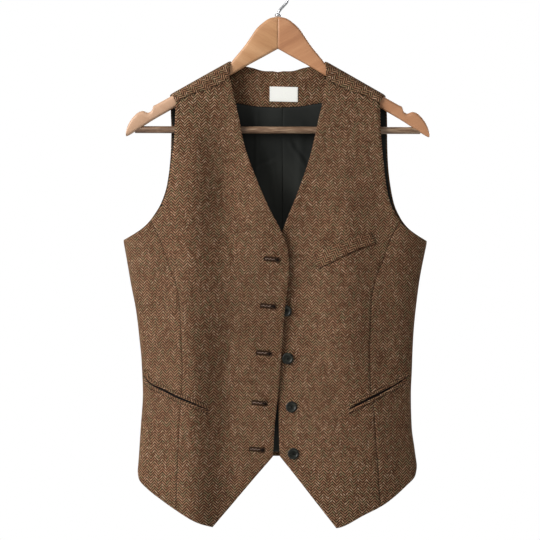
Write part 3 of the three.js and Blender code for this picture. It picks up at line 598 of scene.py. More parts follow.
def make_front(sign, side, surface, edge, hem, princess):
    princess_end, side_end = princess["down"][-1], hem["down"][-1]
    edge_x = through(edge["down"], edge["x"])
    princess_x = through(
        np.concatenate([[PRINCESS_TOP], princess["down"]]),
        np.concatenate([[front_armhole_x(sign, PRINCESS_TOP)], princess["x"]]),
    )
    inner_level = stations([edge["down"][0], UPPER_LEVEL, NECK_LEVEL, CUTAWAY_CORNER, edge["down"][-1]],
                           FRONT_ROWS)
    outer_level = stations([FRONT_ARMHOLE["down"][0], ARMHOLE_TURN, PRINCESS_TOP, WAIST_LEVEL, princess_end],
                           FRONT_ROWS)
    hem_line = drawn({"x": np.append(hem["x"][:-1], sign * half_width(sign, side_end)), "down": hem["down"]})
    split = hem_share_at(hem_line, princess_x(princess_end))

    def outer(v):
        down = outer_level(v)
        return on_front(np.where(down < PRINCESS_TOP, front_armhole_x(sign, down), princess_x(down)), down)

    centre = filled(
        inner=lambda v: on_front(edge_x(inner_level(v)), inner_level(v)),
        outer=outer,
        top=lambda u: on_front(*shoulder_seam(sign, u)),
        bottom=lambda u: on_front(*hem_line(u * split)),
    )
    piece = cloth_piece(f"{side}_front_centre", surface, centre, (64, 162), [TWEED, SATIN], CLOTH, (0, -1, 0),
                        {"inner": EDGE, "outer": SEAM, "top": SEAM, "bottom": EDGE}, front_relief)
    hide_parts(f"front_{side}_centre")

    seam_level = stations([PRINCESS_TOP, WAIST_LEVEL, princess_end], FRONT_ROWS[2:])

    def armhole_end(u):
        down = UNDERARM + (PRINCESS_TOP - UNDERARM) * (1 - u) ** 1.6
        return on_front(front_armhole_x(sign, down), down)

    flank = filled(
        inner=lambda v: on_front(princess_x(seam_level(v)), seam_level(v)),
        outer=lambda v: np.stack([sign + 0 * v, UNDERARM + (side_end - UNDERARM) * v]),
        top=armhole_end,
        bottom=lambda u: on_front(*hem_line(split + (1 - split) * u)),
    )
    piece = cloth_piece(f"{side}_front_side", surface, flank, (40, 108), [TWEED, SATIN], CLOTH, (0, -1, 0),
                        {"inner": SEAM, "outer": SEAM, "top": EDGE, "bottom": EDGE}, front_relief)
    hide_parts(f"front_{side}_side")

    def princess_line(s):
        down = PRINCESS_TOP + (princess_end - PRINCESS_TOP) * s
        return float(princess_x(down)), down

    seam_row(f"{side}_princess_seam", surface, princess_line, princess_end - PRINCESS_TOP)
    seam_row(f"{side}_shoulder_seam", surface, lambda s: shoulder_seam(sign, s), SHOULDER_SEAM_LENGTH)


make_front(-1, "right", right_front, RIGHT_EDGE, RIGHT_HEM, RIGHT_PRINCESS)
make_front(1, "left", left_front, LEFT_EDGE, LEFT_HEM, LEFT_PRINCESS)

# The back
# Two halves of the same tweed, joined down the middle. Each runs up over the hanger and comes forward to
# a shoulder seam in front of the ridge. The hem is turned up inside.

SHOULDER_TIP_X = 153 * MM
NECK_TIP_ARC = 41 * MM
BACK_MIDDLE_ARCS = (190 * MM, 290 * MM)
BACK_ROWS = (2, 8, 3, 4, 12, 11)
BACK_ARMHOLE = table("down x right left", [
    [173, 153, 0, 0], [190, 153, -1, 1.5], [222, 152, -1, 3.5], [249, 152.5, -1, 3.5], [276, 154.5, -1, 3],
    [300, 158, -1, 2.5], [326, 165, -0.5, 1.5], [347, 176, 0, 1], [360, 187, 0, 0.5], [371, 202, 0, 0],
    [379, 215, 0, 0],
])
NECKLINE = table("x down", [
    [67.5, 124.5], [66, 126.3], [64, 127.8], [60, 129], [52, 130.6], [36, 134], [18, 138.6], [0, 140],
])
BACK_HEM_MIDDLE = 685 * MM
BACK_HEM_ENDS = {-1: 709 * MM, 1: 700 * MM}
BACK_FOLDS = table("x down to_x to_down width height", [
    [-95, 330, -80, 720, 24, -4.5], [88, 300, 96, 730, 26, -4.0], [-40, 520, -150, 600, 14, 1.4],
    [30, 500, 150, 575, 15, -1.3], [-120, 230, -70, 300, 16, -1.6], [60, 215, 125, 300, 15, 1.5],
    [-150, 420, -156, 690, 20, 2.2], [152, 440, 160, 690, 18, 2.0],
])
BACK_FOLDS_START, BACK_FOLDS_FULL = 190 * MM, 270 * MM


def back_relief(x, down):
    return relief_of(BACK_FOLDS)(x, down) * fade(down, (BACK_FOLDS_START, BACK_FOLDS_FULL))


def arc_at(x, down):
    """The distance over the shoulder from the ridge to a point of the back."""
    drop = np.asarray(down - ridge_down(x), float)
    bent = FOLD_RADIUS * np.arccos(np.clip(1 - drop / FOLD_RADIUS, -1, 1))
    return np.where(drop < FOLD_RADIUS, bent, drop - FOLD_RADIUS + FOLD_ARC)


def drop_of(arc):
    bent = FOLD_RADIUS * (1 - np.cos(np.clip(arc, 0, FOLD_ARC) / FOLD_RADIUS))
    return np.where(arc < FOLD_ARC, bent, arc - FOLD_ARC + FOLD_RADIUS)


def back_surface(turn, arc):
    """The outside of the back at a turn and an arc, which is below 0 in front of the ridge."""
    drop = drop_of(np.abs(arc))
    down = drop + RIDGE_TOP
    for _ in range(8):
        x = half_width(turn, down) * np.sin(turn * math.pi / 2)
        down = drop + ridge_down(x)
    share = crown(x / half_width(turn, down), down)
    depth = np.where(arc < 0, reach(front_depth, drop, down), reach(back_depth, drop, down)) * share
    return np.stack(np.broadcast_arrays(x, np.sign(arc) * depth, -down), axis=-1)


def laid_back(about, arc, x):
    """The grain of the back: straight down, and mirrored where the cloth comes forward over the ridge."""
    below = ridge_down(x) - RIDGE_TOP + np.abs(arc)
    across, slope = np.abs(about), SHOULDER_SLOPE
    mirrored_across = ((1 - slope ** 2) * across + 2 * slope * below) / (1 + slope ** 2)
    mirrored_below = (2 * slope * across + (slope ** 2 - 1) * below) / (1 + slope ** 2)
    in_front = arc < 0
    return (np.sign(about) * np.where(in_front, mirrored_across, across),
            np.where(in_front, mirrored_below, below))


def on_back(x, down):
    return np.stack(np.broadcast_arrays(turn_of(x, down), arc_at(x, down)))


def strap_place(x, arc):
    return np.stack(np.broadcast_arrays(turn_of(x, ridge_down(x) + drop_of(np.abs(arc))), arc))


back_armhole = through(BACK_ARMHOLE["down"], BACK_ARMHOLE["x"])
back_shift = {-1: through(BACK_ARMHOLE["down"], BACK_ARMHOLE["right"]),
              1: through(BACK_ARMHOLE["down"], BACK_ARMHOLE["left"])}
neckline_arcs = arc_at(NECKLINE["x"], NECKLINE["down"])
neck_seam_arc = float(arc_at(SHOULDER_SEAM["x"][0], SHOULDER_SEAM["down"][0]))
tip_seam_arc = float(arc_at(SHOULDER_SEAM["x"][-1], SHOULDER_SEAM["down"][-1]))
neck_edge_x = through(np.append(-neck_seam_arc, neckline_arcs),
                      np.append(SHOULDER_SEAM["x"][0], NECKLINE["x"]))
neckline_down = through(NECKLINE["x"][::-1], NECKLINE["down"][::-1])


def back_armhole_x(sign, down):
    return sign * (back_armhole(down) + back_shift[sign](down) + side_shift(sign, down))


def hem_down(sign, x):
    """The back's hem rises a little towards the middle."""
    end = BACK_HEM_ENDS[sign]
    return BACK_HEM_MIDDLE + (end - BACK_HEM_MIDDLE) * (x / half_width(sign, end)) ** 2


def make_back(sign, side):
    neck_end, hem_end = neckline_arcs[-1], BACK_HEM_ENDS[sign]
    underarm_arc = float(arc_at(half_width(sign, UNDERARM), UNDERARM))
    turn_arc = float(arc_at(back_armhole_x(sign, ARMHOLE_TURN), ARMHOLE_TURN))
    inner_arc = stations([-neck_seam_arc, -FOLD_ARC, FOLD_ARC, neck_end, *BACK_MIDDLE_ARCS,
                          float(arc_at(0, BACK_HEM_MIDDLE))], BACK_ROWS)
    outer_arc = stations([-tip_seam_arc, -FOLD_ARC, FOLD_ARC, NECK_TIP_ARC, turn_arc, underarm_arc,
                          float(arc_at(half_width(sign, hem_end), hem_end))], BACK_ROWS)

    def outer(v):
        arc = outer_arc(v)
        tip = SHOULDER_TIP_X + (SHOULDER_SEAM["x"][-1] - SHOULDER_TIP_X) * -arc / tip_seam_arc
        x = sign * np.where(arc <= 0, tip, SHOULDER_TIP_X)
        for _ in range(20):
            x = np.where(arc <= 0, x, back_armhole_x(sign, ridge_down(x) + drop_of(arc)))
        place = strap_place(x, arc)
        place[0] = np.where(arc >= underarm_arc, sign, place[0])
        return place

    def bottom(u):
        x = sign * half_width(sign, hem_end) * np.sin(u * math.pi / 2)
        return on_back(x, hem_down(sign, x))

    def top(u):
        x, down = shoulder_seam(sign, u)
        return np.stack([turn_of(x, down), -arc_at(x, down)])

    def inner(v):
        arc = inner_arc(v)
        return strap_place(np.where(arc < neck_end, sign * neck_edge_x(arc), 0), arc)

    # Only the part below the neck is a seam.
    middle = (*SEAM[:2], lambda border: SEAM[2] * (np.abs(border[:, 0]) < 1 * MM))
    piece = cloth_piece(f"{side}_back", back_surface, filled(inner, outer, top, bottom), (56, 200), [TWEED],
                        CLOTH, (0, 1, 0), {"inner": middle, "outer": EDGE, "top": SEAM, "bottom": EDGE},
                        back_relief, laid=laid_back)
    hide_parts(f"back_{side}")


make_back(-1, "right")
make_back(1, "left")


TACK_BELOW_EDGE, TACK_LENGTH, TACK_WIDTH = 0.9 * MM, 3.4 * MM, 1.6 * MM
TACK_DEPTHS = (0.4 * MM, 0.9 * MM, 1.4 * MM)


def neck_tack():
    """A few stitches that close the top of the centre back seam."""
    turn, arc = on_back(np.array(0.0), NECKLINE["down"][-1] + TACK_BELOW_EDGE)
    outward = outward_of(back_surface, turn, arc)
    top = back_surface(turn, arc)
    across = Vector((1, 0, 0))
    lines = [(top - outward * depth, across, outward, TACK_LENGTH, TACK_WIDTH) for depth in TACK_DEPTHS]
    stitches("neck_tack", THREAD, lines)


neck_tack()

# The lining of the back
# Black satin in two halves with a seam near the middle, felled to a tweed facing at the neck. It hangs a
# little loose, so it has creases of its own, and it ends above the hem.

LINING, FACING = 0.9 * MM, 1.0 * MM
LINING_DEPTH, FACING_DEPTH = 2.75 * MM, 2.2 * MM
LINING_SEAM_X = 7 * MM
LINING_HEM = 6 * MM
LINING_UNDERARM = UNDERARM + 7 * MM
LINING_LEVEL = 290 * MM
LINING_TURN = 0.985
LINING_ROWS = (4, 10, 9)
FACING_TOP_X, FACING_LOW_X = 62 * MM, 77 * MM
LINING_TOP = table("x down", [[0, 190], [30, 188.4], [66, 183.6], [110, 185], [160, 187]])
LINING_FOLDS = table("x down to_x to_down width height", [
    [-46, 281, 2, 258, 2.3, -1.5], [-48, 286, 0, 263, 2.4, 1.5], [17, 232, 50, 276, 2.3, -1.5],
    [13, 236, 45, 280, 2.4, 1.4], [-29, 184, -31, 330, 2.4, 1.4],
    [-12, 240, 2, 360, 5, 1.2], [34, 200, 30, 330, 6, 1.0], [-60, 300, -20, 640, 10, 1.2],
    [70, 300, 40, 660, 12, 1.2],
])
LINING_CREASE_FADE = (660 * MM, 640 * MM)
LINING_SEAM_EDGE, LINING_TOP_EDGE = (-0.35 * MM, 1.6 * MM), (-0.5 * MM, 1.5 * MM)
BLACK_THREAD = (0.004, 0.004, 0.004), (0.012, 0.011, 0.01)
PIECE_GAP = 0.3 * MM

facing_edge = through(LINING_TOP["x"], LINING_TOP["down"])


def make_lining(sign, side):
    side_end = BACK_HEM_ENDS[sign] - LINING_HEM
    top_down = LINING_TOP["down"][-1]

    def hem_at(x):
        return hem_down(sign, x) - LINING_HEM

    inner_level = stations([facing_edge(LINING_SEAM_X) + PIECE_GAP, LINING_LEVEL, LINING_UNDERARM,
                            hem_at(LINING_SEAM_X)], LINING_ROWS)
    outer_level = stations([top_down, ARMHOLE_TURN, LINING_UNDERARM, side_end], LINING_ROWS)

    def outer_x(down):
        lowered = down - (LINING_UNDERARM - UNDERARM) * fade(down, (ARMHOLE_TURN, UNDERARM))
        turn = np.where(down < LINING_UNDERARM, turn_of(back_armhole_x(sign, lowered), down), sign)
        return half_width(sign, down) * np.sin(LINING_TURN * turn * math.pi / 2)

    def top(u):
        x = LINING_SEAM_X + (outer_x(top_down) - LINING_SEAM_X) * u
        return on_back(x, facing_edge(np.abs(x)) + PIECE_GAP)

    def bottom(u):
        x = LINING_SEAM_X + (outer_x(side_end) - LINING_SEAM_X) * np.sin(u * math.pi / 2)
        return on_back(x, hem_at(x))

    outline = filled(
        inner=lambda v: on_back(LINING_SEAM_X, inner_level(v)),
        outer=lambda v: on_back(outer_x(outer_level(v)), outer_level(v)),
        top=top,
        bottom=bottom,
    )
    creases = relief_of(LINING_FOLDS)

    def relief(x, down):
        return back_relief(x, down) - creases(x, down) * fade(down, LINING_CREASE_FADE)

    piece = cloth_piece(f"{side}_back_lining", back_surface, outline, (110, 184), [SATIN], LINING, (0, -1, 0),
                        {"inner": LINING_SEAM_EDGE, "top": LINING_TOP_EDGE}, relief,
                        depth=LINING_DEPTH + LINING, round_edge=0)
    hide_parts(f"back_lining_{side}")


make_lining(-1, "right")
make_lining(1, "left")


def lining_seam():
    """The thread along the lining's middle seam, as far down as it can be seen."""
    top, bottom, pitch, length, width = 192 * MM, 400 * MM, 2.2 * MM, 2.3 * MM, 0.7 * MM
    lines = []
    for down in np.arange(top, bottom, pitch):
        turn, arc = on_back(np.array(LINING_SEAM_X), np.array(down))
        outward = outward_of(back_surface, turn, arc)
        depth = LINING_DEPTH + LINING + LINING_SEAM_EDGE[0] - back_relief(LINING_SEAM_X, down)
        lines.append((back_surface(turn, arc) - outward * depth, Vector((0, 0, 1)), -outward, length, width))
    stitches("lining_seam", thread("black thread", *BLACK_THREAD), lines)


lining_seam()


def make_facing():
    def side_line(sign):
        def line(v):
            x = sign * (FACING_TOP_X + (FACING_LOW_X - FACING_TOP_X) * v)
            top = neckline_down(FACING_TOP_X) + PIECE_GAP
            return on_back(x, top + (facing_edge(FACING_LOW_X) - top) * v)
        return line

    def across(half, level):
        def line(u):
            x = half * (2 * u - 1)
            return on_back(x, level(np.abs(x)))
        return line

    outline = filled(side_line(-1), side_line(1),
                     across(FACING_TOP_X, lambda x: neckline_down(x) + PIECE_GAP),
                     across(FACING_LOW_X, facing_edge))
    piece = cloth_piece("neck_facing", back_surface, outline, (70, 36), [TWEED], FACING, (0, -1, 0),
                        {"bottom": (-0.5 * MM, 1.2 * MM)}, depth=FACING_DEPTH + FACING, round_edge=0.3 * MM,
                        laid=laid_back)
    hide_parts("back_neck_facing")


make_facing()

# The label
# A plain white woven label, folded under at its ends and sewn to the facing along its edges.

LABEL_WALL = 0.6 * MM
LABEL_X, LABEL_DOWN, LABEL_WIDTH, LABEL_HEIGHT = 8.5 * MM, 171.3 * MM, 40 * MM, 21 * MM
LABEL_TILT = 0.02


def label_cloth():
    """White ribbon with fine ribs."""
    ribbon = Finish("label")
    fine = ribbon.noise(ribbon.stretched(ribbon.object_place(), 400.0, 400.0, 2600.0))
    colour = ribbon.blend(fine, (0.70, 0.70, 0.66), (0.88, 0.88, 0.84))
    return ribbon.shade(Base_Color=colour, Roughness=0.7, Normal=ribbon.bump(fine, 0.3, 0.1 * MM))


def label_outline(u, v):
    x = LABEL_X + (u - 0.5) * LABEL_WIDTH
    return on_back(x, LABEL_DOWN + (v - 0.5) * LABEL_HEIGHT + LABEL_TILT * (x - LABEL_X))


LABEL_DEPTH = FACING_DEPTH + FACING + PIECE_GAP + LABEL_WALL
label = cloth_piece("label", back_surface, label_outline, (36, 20), [label_cloth()], LABEL_WALL, (0, -1, 0),
                    {side: (-0.15 * MM, 0.9 * MM) for side in ("inner", "outer", "top", "bottom")},
                    depth=LABEL_DEPTH, round_edge=0.15 * MM)
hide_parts("label")


def label_stitches():
    """A line of stitches inside the label's four edges."""
    pitch, inset, length, width, raised, lines = 2.4 * MM, 1.0 * MM, 1.7 * MM, 0.35 * MM, 0.1 * MM, []
    rim = [(-1, -1), (1, -1), (1, 1), (-1, 1), (-1, -1)]
    half = np.array([LABEL_WIDTH / 2 - inset, LABEL_HEIGHT / 2 - inset])
    for first, last in zip(rim, rim[1:]):
        start, end = np.array([first, last]) * half
        run = end - start
        count = int(np.linalg.norm(run) / pitch)
        for k in range(count):
            u, v = (start + run * (k + 0.5) / count) / (LABEL_WIDTH, LABEL_HEIGHT) + 0.5
            turn, level = label_outline(np.array(u), np.array(v))
            outward = outward_of(back_surface, turn, level)
            point = back_surface(turn, level) - outward * (LABEL_DEPTH + raised)
            lines.append((point, Vector((run[0], 0, -run[1])), -outward, length, width))
    stitches("label_stitches", thread("label thread", (0.45, 0.43, 0.4), (0.7, 0.69, 0.65)), lines)


label_stitches()

# The chest welt
# A narrow tweed welt on the left front, seamed along its lower edge and sewn down at both ends.

WELT_RAISE, WELT_WALL = 1.7 * MM, 1.3 * MM
WELT_END, WELT_TOP, WELT_SEAM = (0.6 * MM, 1.2 * MM), (0.3 * MM, 1.2 * MM), (1.0 * MM, 1.4 * MM)
WELT_GRAIN = math.radians(-22)
WELT_UPPER = drawn(table("x down", [[51.1, 400.5], [92, 382.5], [131.9, 366.7]]))
WELT_LOWER = drawn(table("x down", [[57.8, 418.6], [112, 392.7], [139.6, 382.8]]))


def strip_outline(upper, lower):
    def outline(u, v):
        (upper_x, upper_down), (lower_x, lower_down) = upper(u), lower(u)
        return on_front(upper_x + (lower_x - upper_x) * v, upper_down + (lower_down - upper_down) * v)
    return outline


welt = cloth_piece("chest_welt", left_front, strip_outline(WELT_UPPER, WELT_LOWER), (60, 14), [TWEED],
                   WELT_WALL, (0, -1, 0),
                   {"inner": WELT_END, "outer": WELT_END, "top": WELT_TOP, "bottom": WELT_SEAM},
                   front_relief, depth=-PIECE_GAP - WELT_RAISE, round_edge=0.4 * MM, grain=WELT_GRAIN)
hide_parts("chest_welt")


def welt_stitches():
    """Stitches across both ends of the welt, sunk into it, and a row below its seam."""
    end_sunk, end_length, end_width = 0.25 * MM, 1.9 * MM, 0.9 * MM
    seam_count, seam_below, seam_raised = 40, 0.5 * MM, 0.2 * MM
    seam_length, seam_width = 2.3 * MM, 1.1 * MM
    lines = []
    for end in (0.018, 0.982):
        (x0, down0), (x1, down1) = WELT_UPPER(end), WELT_LOWER(end)
        for share in 0.08 + 0.14 * np.arange(7):
            point, outward = point_on(left_front, x0 + (x1 - x0) * share, down0 + (down1 - down0) * share,
                                      PIECE_GAP + WELT_RAISE - end_sunk)
            lines.append((point, Vector((x1 - x0, 0, down0 - down1)), outward, end_length, end_width))
    for share in (np.arange(seam_count) + 0.5) / seam_count:
        x, down = WELT_LOWER(share)
        point, outward = point_on(left_front, x, down + seam_below, seam_raised)
        before, after = WELT_LOWER(share - 0.01), WELT_LOWER(share + 0.01)
        run = Vector((after[0] - before[0], 0, before[1] - after[1]))
        lines.append((point, run, outward, seam_length, seam_width))
    stitches("welt_stitches", THREAD, lines)


welt_stitches()

# The pockets
# Two slanted pockets, each a slit between an upper and a lower lip of folded tweed, with a near-black strip
# in the slit as painted shade.

LIP_WIDTH, LIP_SLIT, LIP_RAISE, LIP_WALL = 5.2 * MM, 0.6 * MM, 1.5 * MM, 0.9 * MM
LIP_GAPE, SLIT_UNDER_LIP = 1.35 * MM, 0.5 * MM
LIP_EDGE, LIP_END = (1.0 * MM, 1.3 * MM), (1.0 * MM, 1.5 * MM)
LIP_GRAIN = math.radians(65)
LIP_SEAM_LENGTH, LIP_SEAM_BESIDE = 98 * MM, 0.6 * MM
LIP_SEAM_RAISED, LIP_SEAM_WIDTH = 0.2 * MM, 1.5 * MM
# Near-black: painted shade inside the pockets.
POCKET_SHADE = thread("pocket shade", (0.003, 0.002, 0.0015), (0.008, 0.005, 0.004))
RIGHT_POCKET = table("x down", [
    [-96.6, 618], [-120, 608], [-145, 597.5], [-157, 591.5], [-176.8, 582.5], [-188.5, 570],
])
LEFT_POCKET = table("x down", [
    [101.2, 616.5], [127.8, 602.5], [154.5, 589], [171.7, 579.5], [186, 569],
])


def beside(line, distance):
    """A line beside a pocket's opening. The distance is a function of the share, and goes down from it."""
    def place(u):
        x, down = line(u)
        x0, down0 = line(np.clip(u - 0.01, 0, 1))
        x1, down1 = line(np.clip(u + 0.01, 0, 1))
        return x, down + distance(u) * np.hypot(x1 - x0, down1 - down0) / np.abs(x1 - x0)
    return place


def make_pocket(side, surface, opening, widest):
    """A pocket whose slit gapes most at a given share of its length."""
    line = drawn(opening)
    lean = math.log(0.5) / math.log(widest)
    outer = LIP_SLIT / 2 + LIP_WIDTH

    def gape(u):
        return LIP_SLIT / 2 + LIP_GAPE * np.sin(math.pi * np.clip(u, 0, 1) ** lean) ** 0.8

    def level(distance):
        return beside(line, lambda u: distance + 0 * u)

    for name, near, far in [("upper", level(-outer), beside(line, lambda u: -gape(u))),
                            ("lower", beside(line, gape), level(outer))]:
        lip = cloth_piece(f"{side}_pocket_{name}_lip", surface, strip_outline(near, far), (70, 10), [TWEED],
                          LIP_WALL, (0, -1, 0),
                          {"top": LIP_EDGE, "bottom": LIP_EDGE, "inner": LIP_END, "outer": LIP_END},
                          front_relief, depth=-PIECE_GAP - LIP_RAISE, round_edge=0.25 * MM, grain=LIP_GRAIN)
        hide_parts(f"pocket_{side}_{name}_lip")
    for name, edge in (("upper", -outer - LIP_SEAM_BESIDE), ("lower", outer + LIP_SEAM_BESIDE)):
        seam_row(f"{side}_pocket_{name}_seam", surface, level(edge), LIP_SEAM_LENGTH, -LIP_SEAM_RAISED,
                 LIP_SEAM_WIDTH)
    above = beside(line, lambda u: -gape(u) - SLIT_UNDER_LIP)
    below = beside(line, lambda u: gape(u) + SLIT_UNDER_LIP)
    # A near-black strip under the lips fills the slit as painted shade.
    slit = cloth_piece(f"{side}_pocket_slit_shade", surface, strip_outline(above, below), (60, 2), [POCKET_SHADE],
                       0.2 * MM, (0, -1, 0), {}, front_relief, depth=-0.25 * MM, round_edge=0)


make_pocket("right", right_front, RIGHT_POCKET, 0.5)
make_pocket("left", left_front, LEFT_POCKET, 0.33)

# The buttonholes
# Five keyhole buttonholes in the right front, worked round with dark silk twist over a slit, with an
# eyelet at the end next to the edge and a bar at the other.

BUTTONHOLES = table("x down", [[-7.4, 405], [-12.8, 472], [-18.5, 539], [-24.6, 608], [-27.7, 673]])
HOLE_LENGTH, HOLE_HALF, EYELET = 24 * MM, 1.6 * MM, 2.9 * MM
HOLE_TILT = math.radians(6)
STITCH_PITCH, STITCH_LENGTH, STITCH_WIDTH, STITCH_RAISED = 0.85 * MM, 3.0 * MM, 1.2 * MM, 0.3 * MM
SLIT_PITCH, SLIT_LENGTH, SLIT_WIDTH, SLIT_RAISED = 1.6 * MM, 3.0 * MM, 1.6 * MM, 0.05 * MM
GIMP_PITCH, GIMP_LENGTH, GIMP_WIDTH, GIMP_RAISED = 2.3 * MM, 2.6 * MM, 0.9 * MM, 0.55 * MM
GIMP_SWAYS = ((-0.3 * MM, -0.1), (0.35 * MM, 0.12))
BAR_BEYOND, BAR_SPACING = 0.5 * MM, 1.1 * MM

# Places along a buttonhole, from its middle: rim, eyelet, the slit painted near-black as painted shade, and
# the gimp seen in it, painted pale as a painted highlight.
RIM_FROM, EYELET_X = 1.2 * MM - HOLE_LENGTH / 2, HOLE_LENGTH / 2 - EYELET - STITCH_LENGTH / 2
SLIT_FROM, SLIT_TO = 2.0 * MM - HOLE_LENGTH / 2, HOLE_LENGTH / 2 - 2.5 * MM
GIMP_FROM, GIMP_TO = 3.2 * MM - HOLE_LENGTH / 2, HOLE_LENGTH / 2 - 8 * MM


def keyhole():
    """Places round a buttonhole, each with the direction away from its slit."""
    neck = EYELET_X - EYELET * 0.8
    places = []
    for side in (-1, 1):
        for x in np.arange(RIM_FROM, neck, STITCH_PITCH):
            places.append((x, side * (HOLE_HALF + 0.25 * STITCH_LENGTH), 0, side))
    for angle in np.radians(np.arange(-140, 141, 28)):
        radius, out, up = EYELET + 0.2 * STITCH_LENGTH, math.cos(angle), math.sin(angle)
        places.append((EYELET_X + radius * out, radius * up, out, up))
    for rise in (-1, 0, 1):
        places.append((RIM_FROM - BAR_BEYOND, rise * BAR_SPACING, 0, 1))
    return places


def make_buttonholes():
    rims, slit_shades, gimp_highlights = [], [], []
    for x0, down0 in zip(BUTTONHOLES["x"], BUTTONHOLES["down"]):
        def placed(x, y, height):
            along = x * math.cos(HOLE_TILT) + y * math.sin(HOLE_TILT)
            below = x * math.sin(HOLE_TILT) - y * math.cos(HOLE_TILT)
            return point_on(right_front, x0 + along, down0 + below, height)

        def heading(x, y):
            return Vector((x * math.cos(HOLE_TILT) + y * math.sin(HOLE_TILT), 0,
                           -x * math.sin(HOLE_TILT) + y * math.cos(HOLE_TILT)))

        for x, y, away_x, away_y in keyhole():
            point, outward = placed(x, y, STITCH_RAISED)
            rims.append((point, heading(away_x, away_y), outward, STITCH_LENGTH, STITCH_WIDTH))
        # Near-black stitches fill the slit and the eyelet as painted shade.
        for x in np.arange(SLIT_FROM, SLIT_TO, SLIT_PITCH):
            point, outward = placed(x, 0, SLIT_RAISED)
            slit_shades.append((point, heading(1, 0), outward, SLIT_LENGTH, SLIT_WIDTH))
        point, outward = placed(EYELET_X, 0, SLIT_RAISED)
        slit_shades.append((point, heading(1, 0), outward, 2 * EYELET, 1.6 * EYELET))
        # The gimp stitches are coloured pale as a painted highlight on the silk.
        for k, x in enumerate(np.arange(GIMP_FROM, GIMP_TO, GIMP_PITCH)):
            aside, tilt = GIMP_SWAYS[k % 2]
            point, outward = placed(x, aside, GIMP_RAISED)
            gimp_highlights.append((point, heading(1, tilt), outward, GIMP_LENGTH, GIMP_WIDTH))
    stitches("buttonhole_twist", THREAD, rims)
    stitches("buttonhole_slit_shade", thread("slit", (0.006, 0.003, 0.002), (0.014, 0.008, 0.005)), slit_shades)
    stitches("buttonhole_gimp_highlight", thread("gimp_highlights", (0.24, 0.15, 0.115), (0.52, 0.38, 0.31)), gimp_highlights)


make_buttonholes()

# The buttons
# Five dark moulded buttons with a rolled rim and a dished middle, sewn to the left front through four
# holes with a crossed dark thread.

BUTTONS = table("x down", [[7.8, 414], [12.5, 479], [15.1, 546], [20.7, 613], [23.6, 679]])
BUTTON_SEAT = 0.45 * MM
BUTTON_PROFILE = table("radius height", [
    [0.01, 0.3], [3, 0.1], [6, 0.15], [7.6, 0.6], [8.1, 1.5], [7.85, 2.5], [7.1, 3.2], [6.3, 3.35],
    [5.6, 3.1], [5.1, 2.65], [4.2, 2.4], [2.4, 2.3], [0.01, 2.25],
])
HOLE_OUT, HOLE_RADIUS, HOLE_HEIGHT, HOLE_RIM = 1.25 * MM, 0.55 * MM, 2.35 * MM, 0.16 * MM
CROSSING_HEIGHT, CROSSING_LIFT, CROSSING_ASIDE = 2.6 * MM, 0.15 * MM, 0.2 * MM
CROSSING_LENGTH, CROSSING_WIDTH = 4.4 * MM, 0.5 * MM


def button_finish():
    """Dark horn-like plastic with faint cloudy streaks, half gloss."""
    horn = Finish("buttons")
    cloud = horn.noise(horn.stretched(horn.object_place(), 160.0, 160.0, 420.0), detail=3.0)
    colour = horn.blend(horn.step(cloud, 0.4, 0.75), (0.008, 0.009, 0.007), (0.028, 0.030, 0.023))
    return horn.shade(Base_Color=colour, Roughness=0.3 + 0.14 * cloud, Specular_IOR_Level=0.22)


def make_buttons():
    horn, crossing = button_finish(), []
    for number, (x, down) in enumerate(zip(BUTTONS["x"], BUTTONS["down"]), 1):
        foot, outward = point_on(left_front, x, down, BUTTON_SEAT)
        side = Vector((1, 0, 0)) - outward * outward.x
        side.normalize()
        stand = Matrix.Translation(foot) @ Matrix((side, outward.cross(side), outward)).transposed().to_4x4()
        form = bmesh.new()
        rim = [form.verts.new((radius, 0, height)) for radius, height in zip(*BUTTON_PROFILE.values())]
        edges = [form.edges.new(pair) for pair in zip(rim, rim[1:])]
        bmesh.ops.spin(form, geom=rim + edges, cent=(0, 0, 0), axis=(0, 0, 1), angle=2 * math.pi, steps=40,
                       use_merge=True)
        bmesh.ops.remove_doubles(form, verts=form.verts, dist=0.015 * MM)
        bmesh.ops.holes_fill(form, edges=form.edges)
        bmesh.ops.recalc_face_normals(form, faces=form.faces)
        for across, up in ((1, 1), (1, -1), (-1, 1), (-1, -1)):
            hole = Matrix.Translation((across * HOLE_OUT, up * HOLE_OUT, HOLE_HEIGHT))
            bmesh.ops.create_cone(form, cap_ends=True, segments=10, radius1=HOLE_RADIUS,
                                  radius2=HOLE_RADIUS * 1.1, depth=HOLE_RIM, matrix=hole)
        bmesh.ops.transform(form, matrix=stand, verts=form.verts)
        piece = built(f"button_{number}_face", form, horn)
        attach(piece, "root")
        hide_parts(f"button_{number}")
        for lean in (1, -1):
            run = stand.to_3x3() @ Vector((1, lean, 0))
            point = stand @ Vector((0, 0, CROSSING_HEIGHT + CROSSING_LIFT * lean))
            for shift in (-CROSSING_ASIDE, CROSSING_ASIDE):
                aside = stand.to_3x3() @ Vector((-lean, 1, 0)).normalized() * shift
                crossing.append((point + aside, run, outward, CROSSING_LENGTH, CROSSING_WIDTH))
    stitches("button_thread", thread("button thread", *BLACK_THREAD), crossing)


make_buttons()

# The hanger's arms
# Two boards of clear lacquered beech, mitred and glued in the middle, shaped with a notch for straps, and
# well rounded along their edges. The grain runs along each arm.

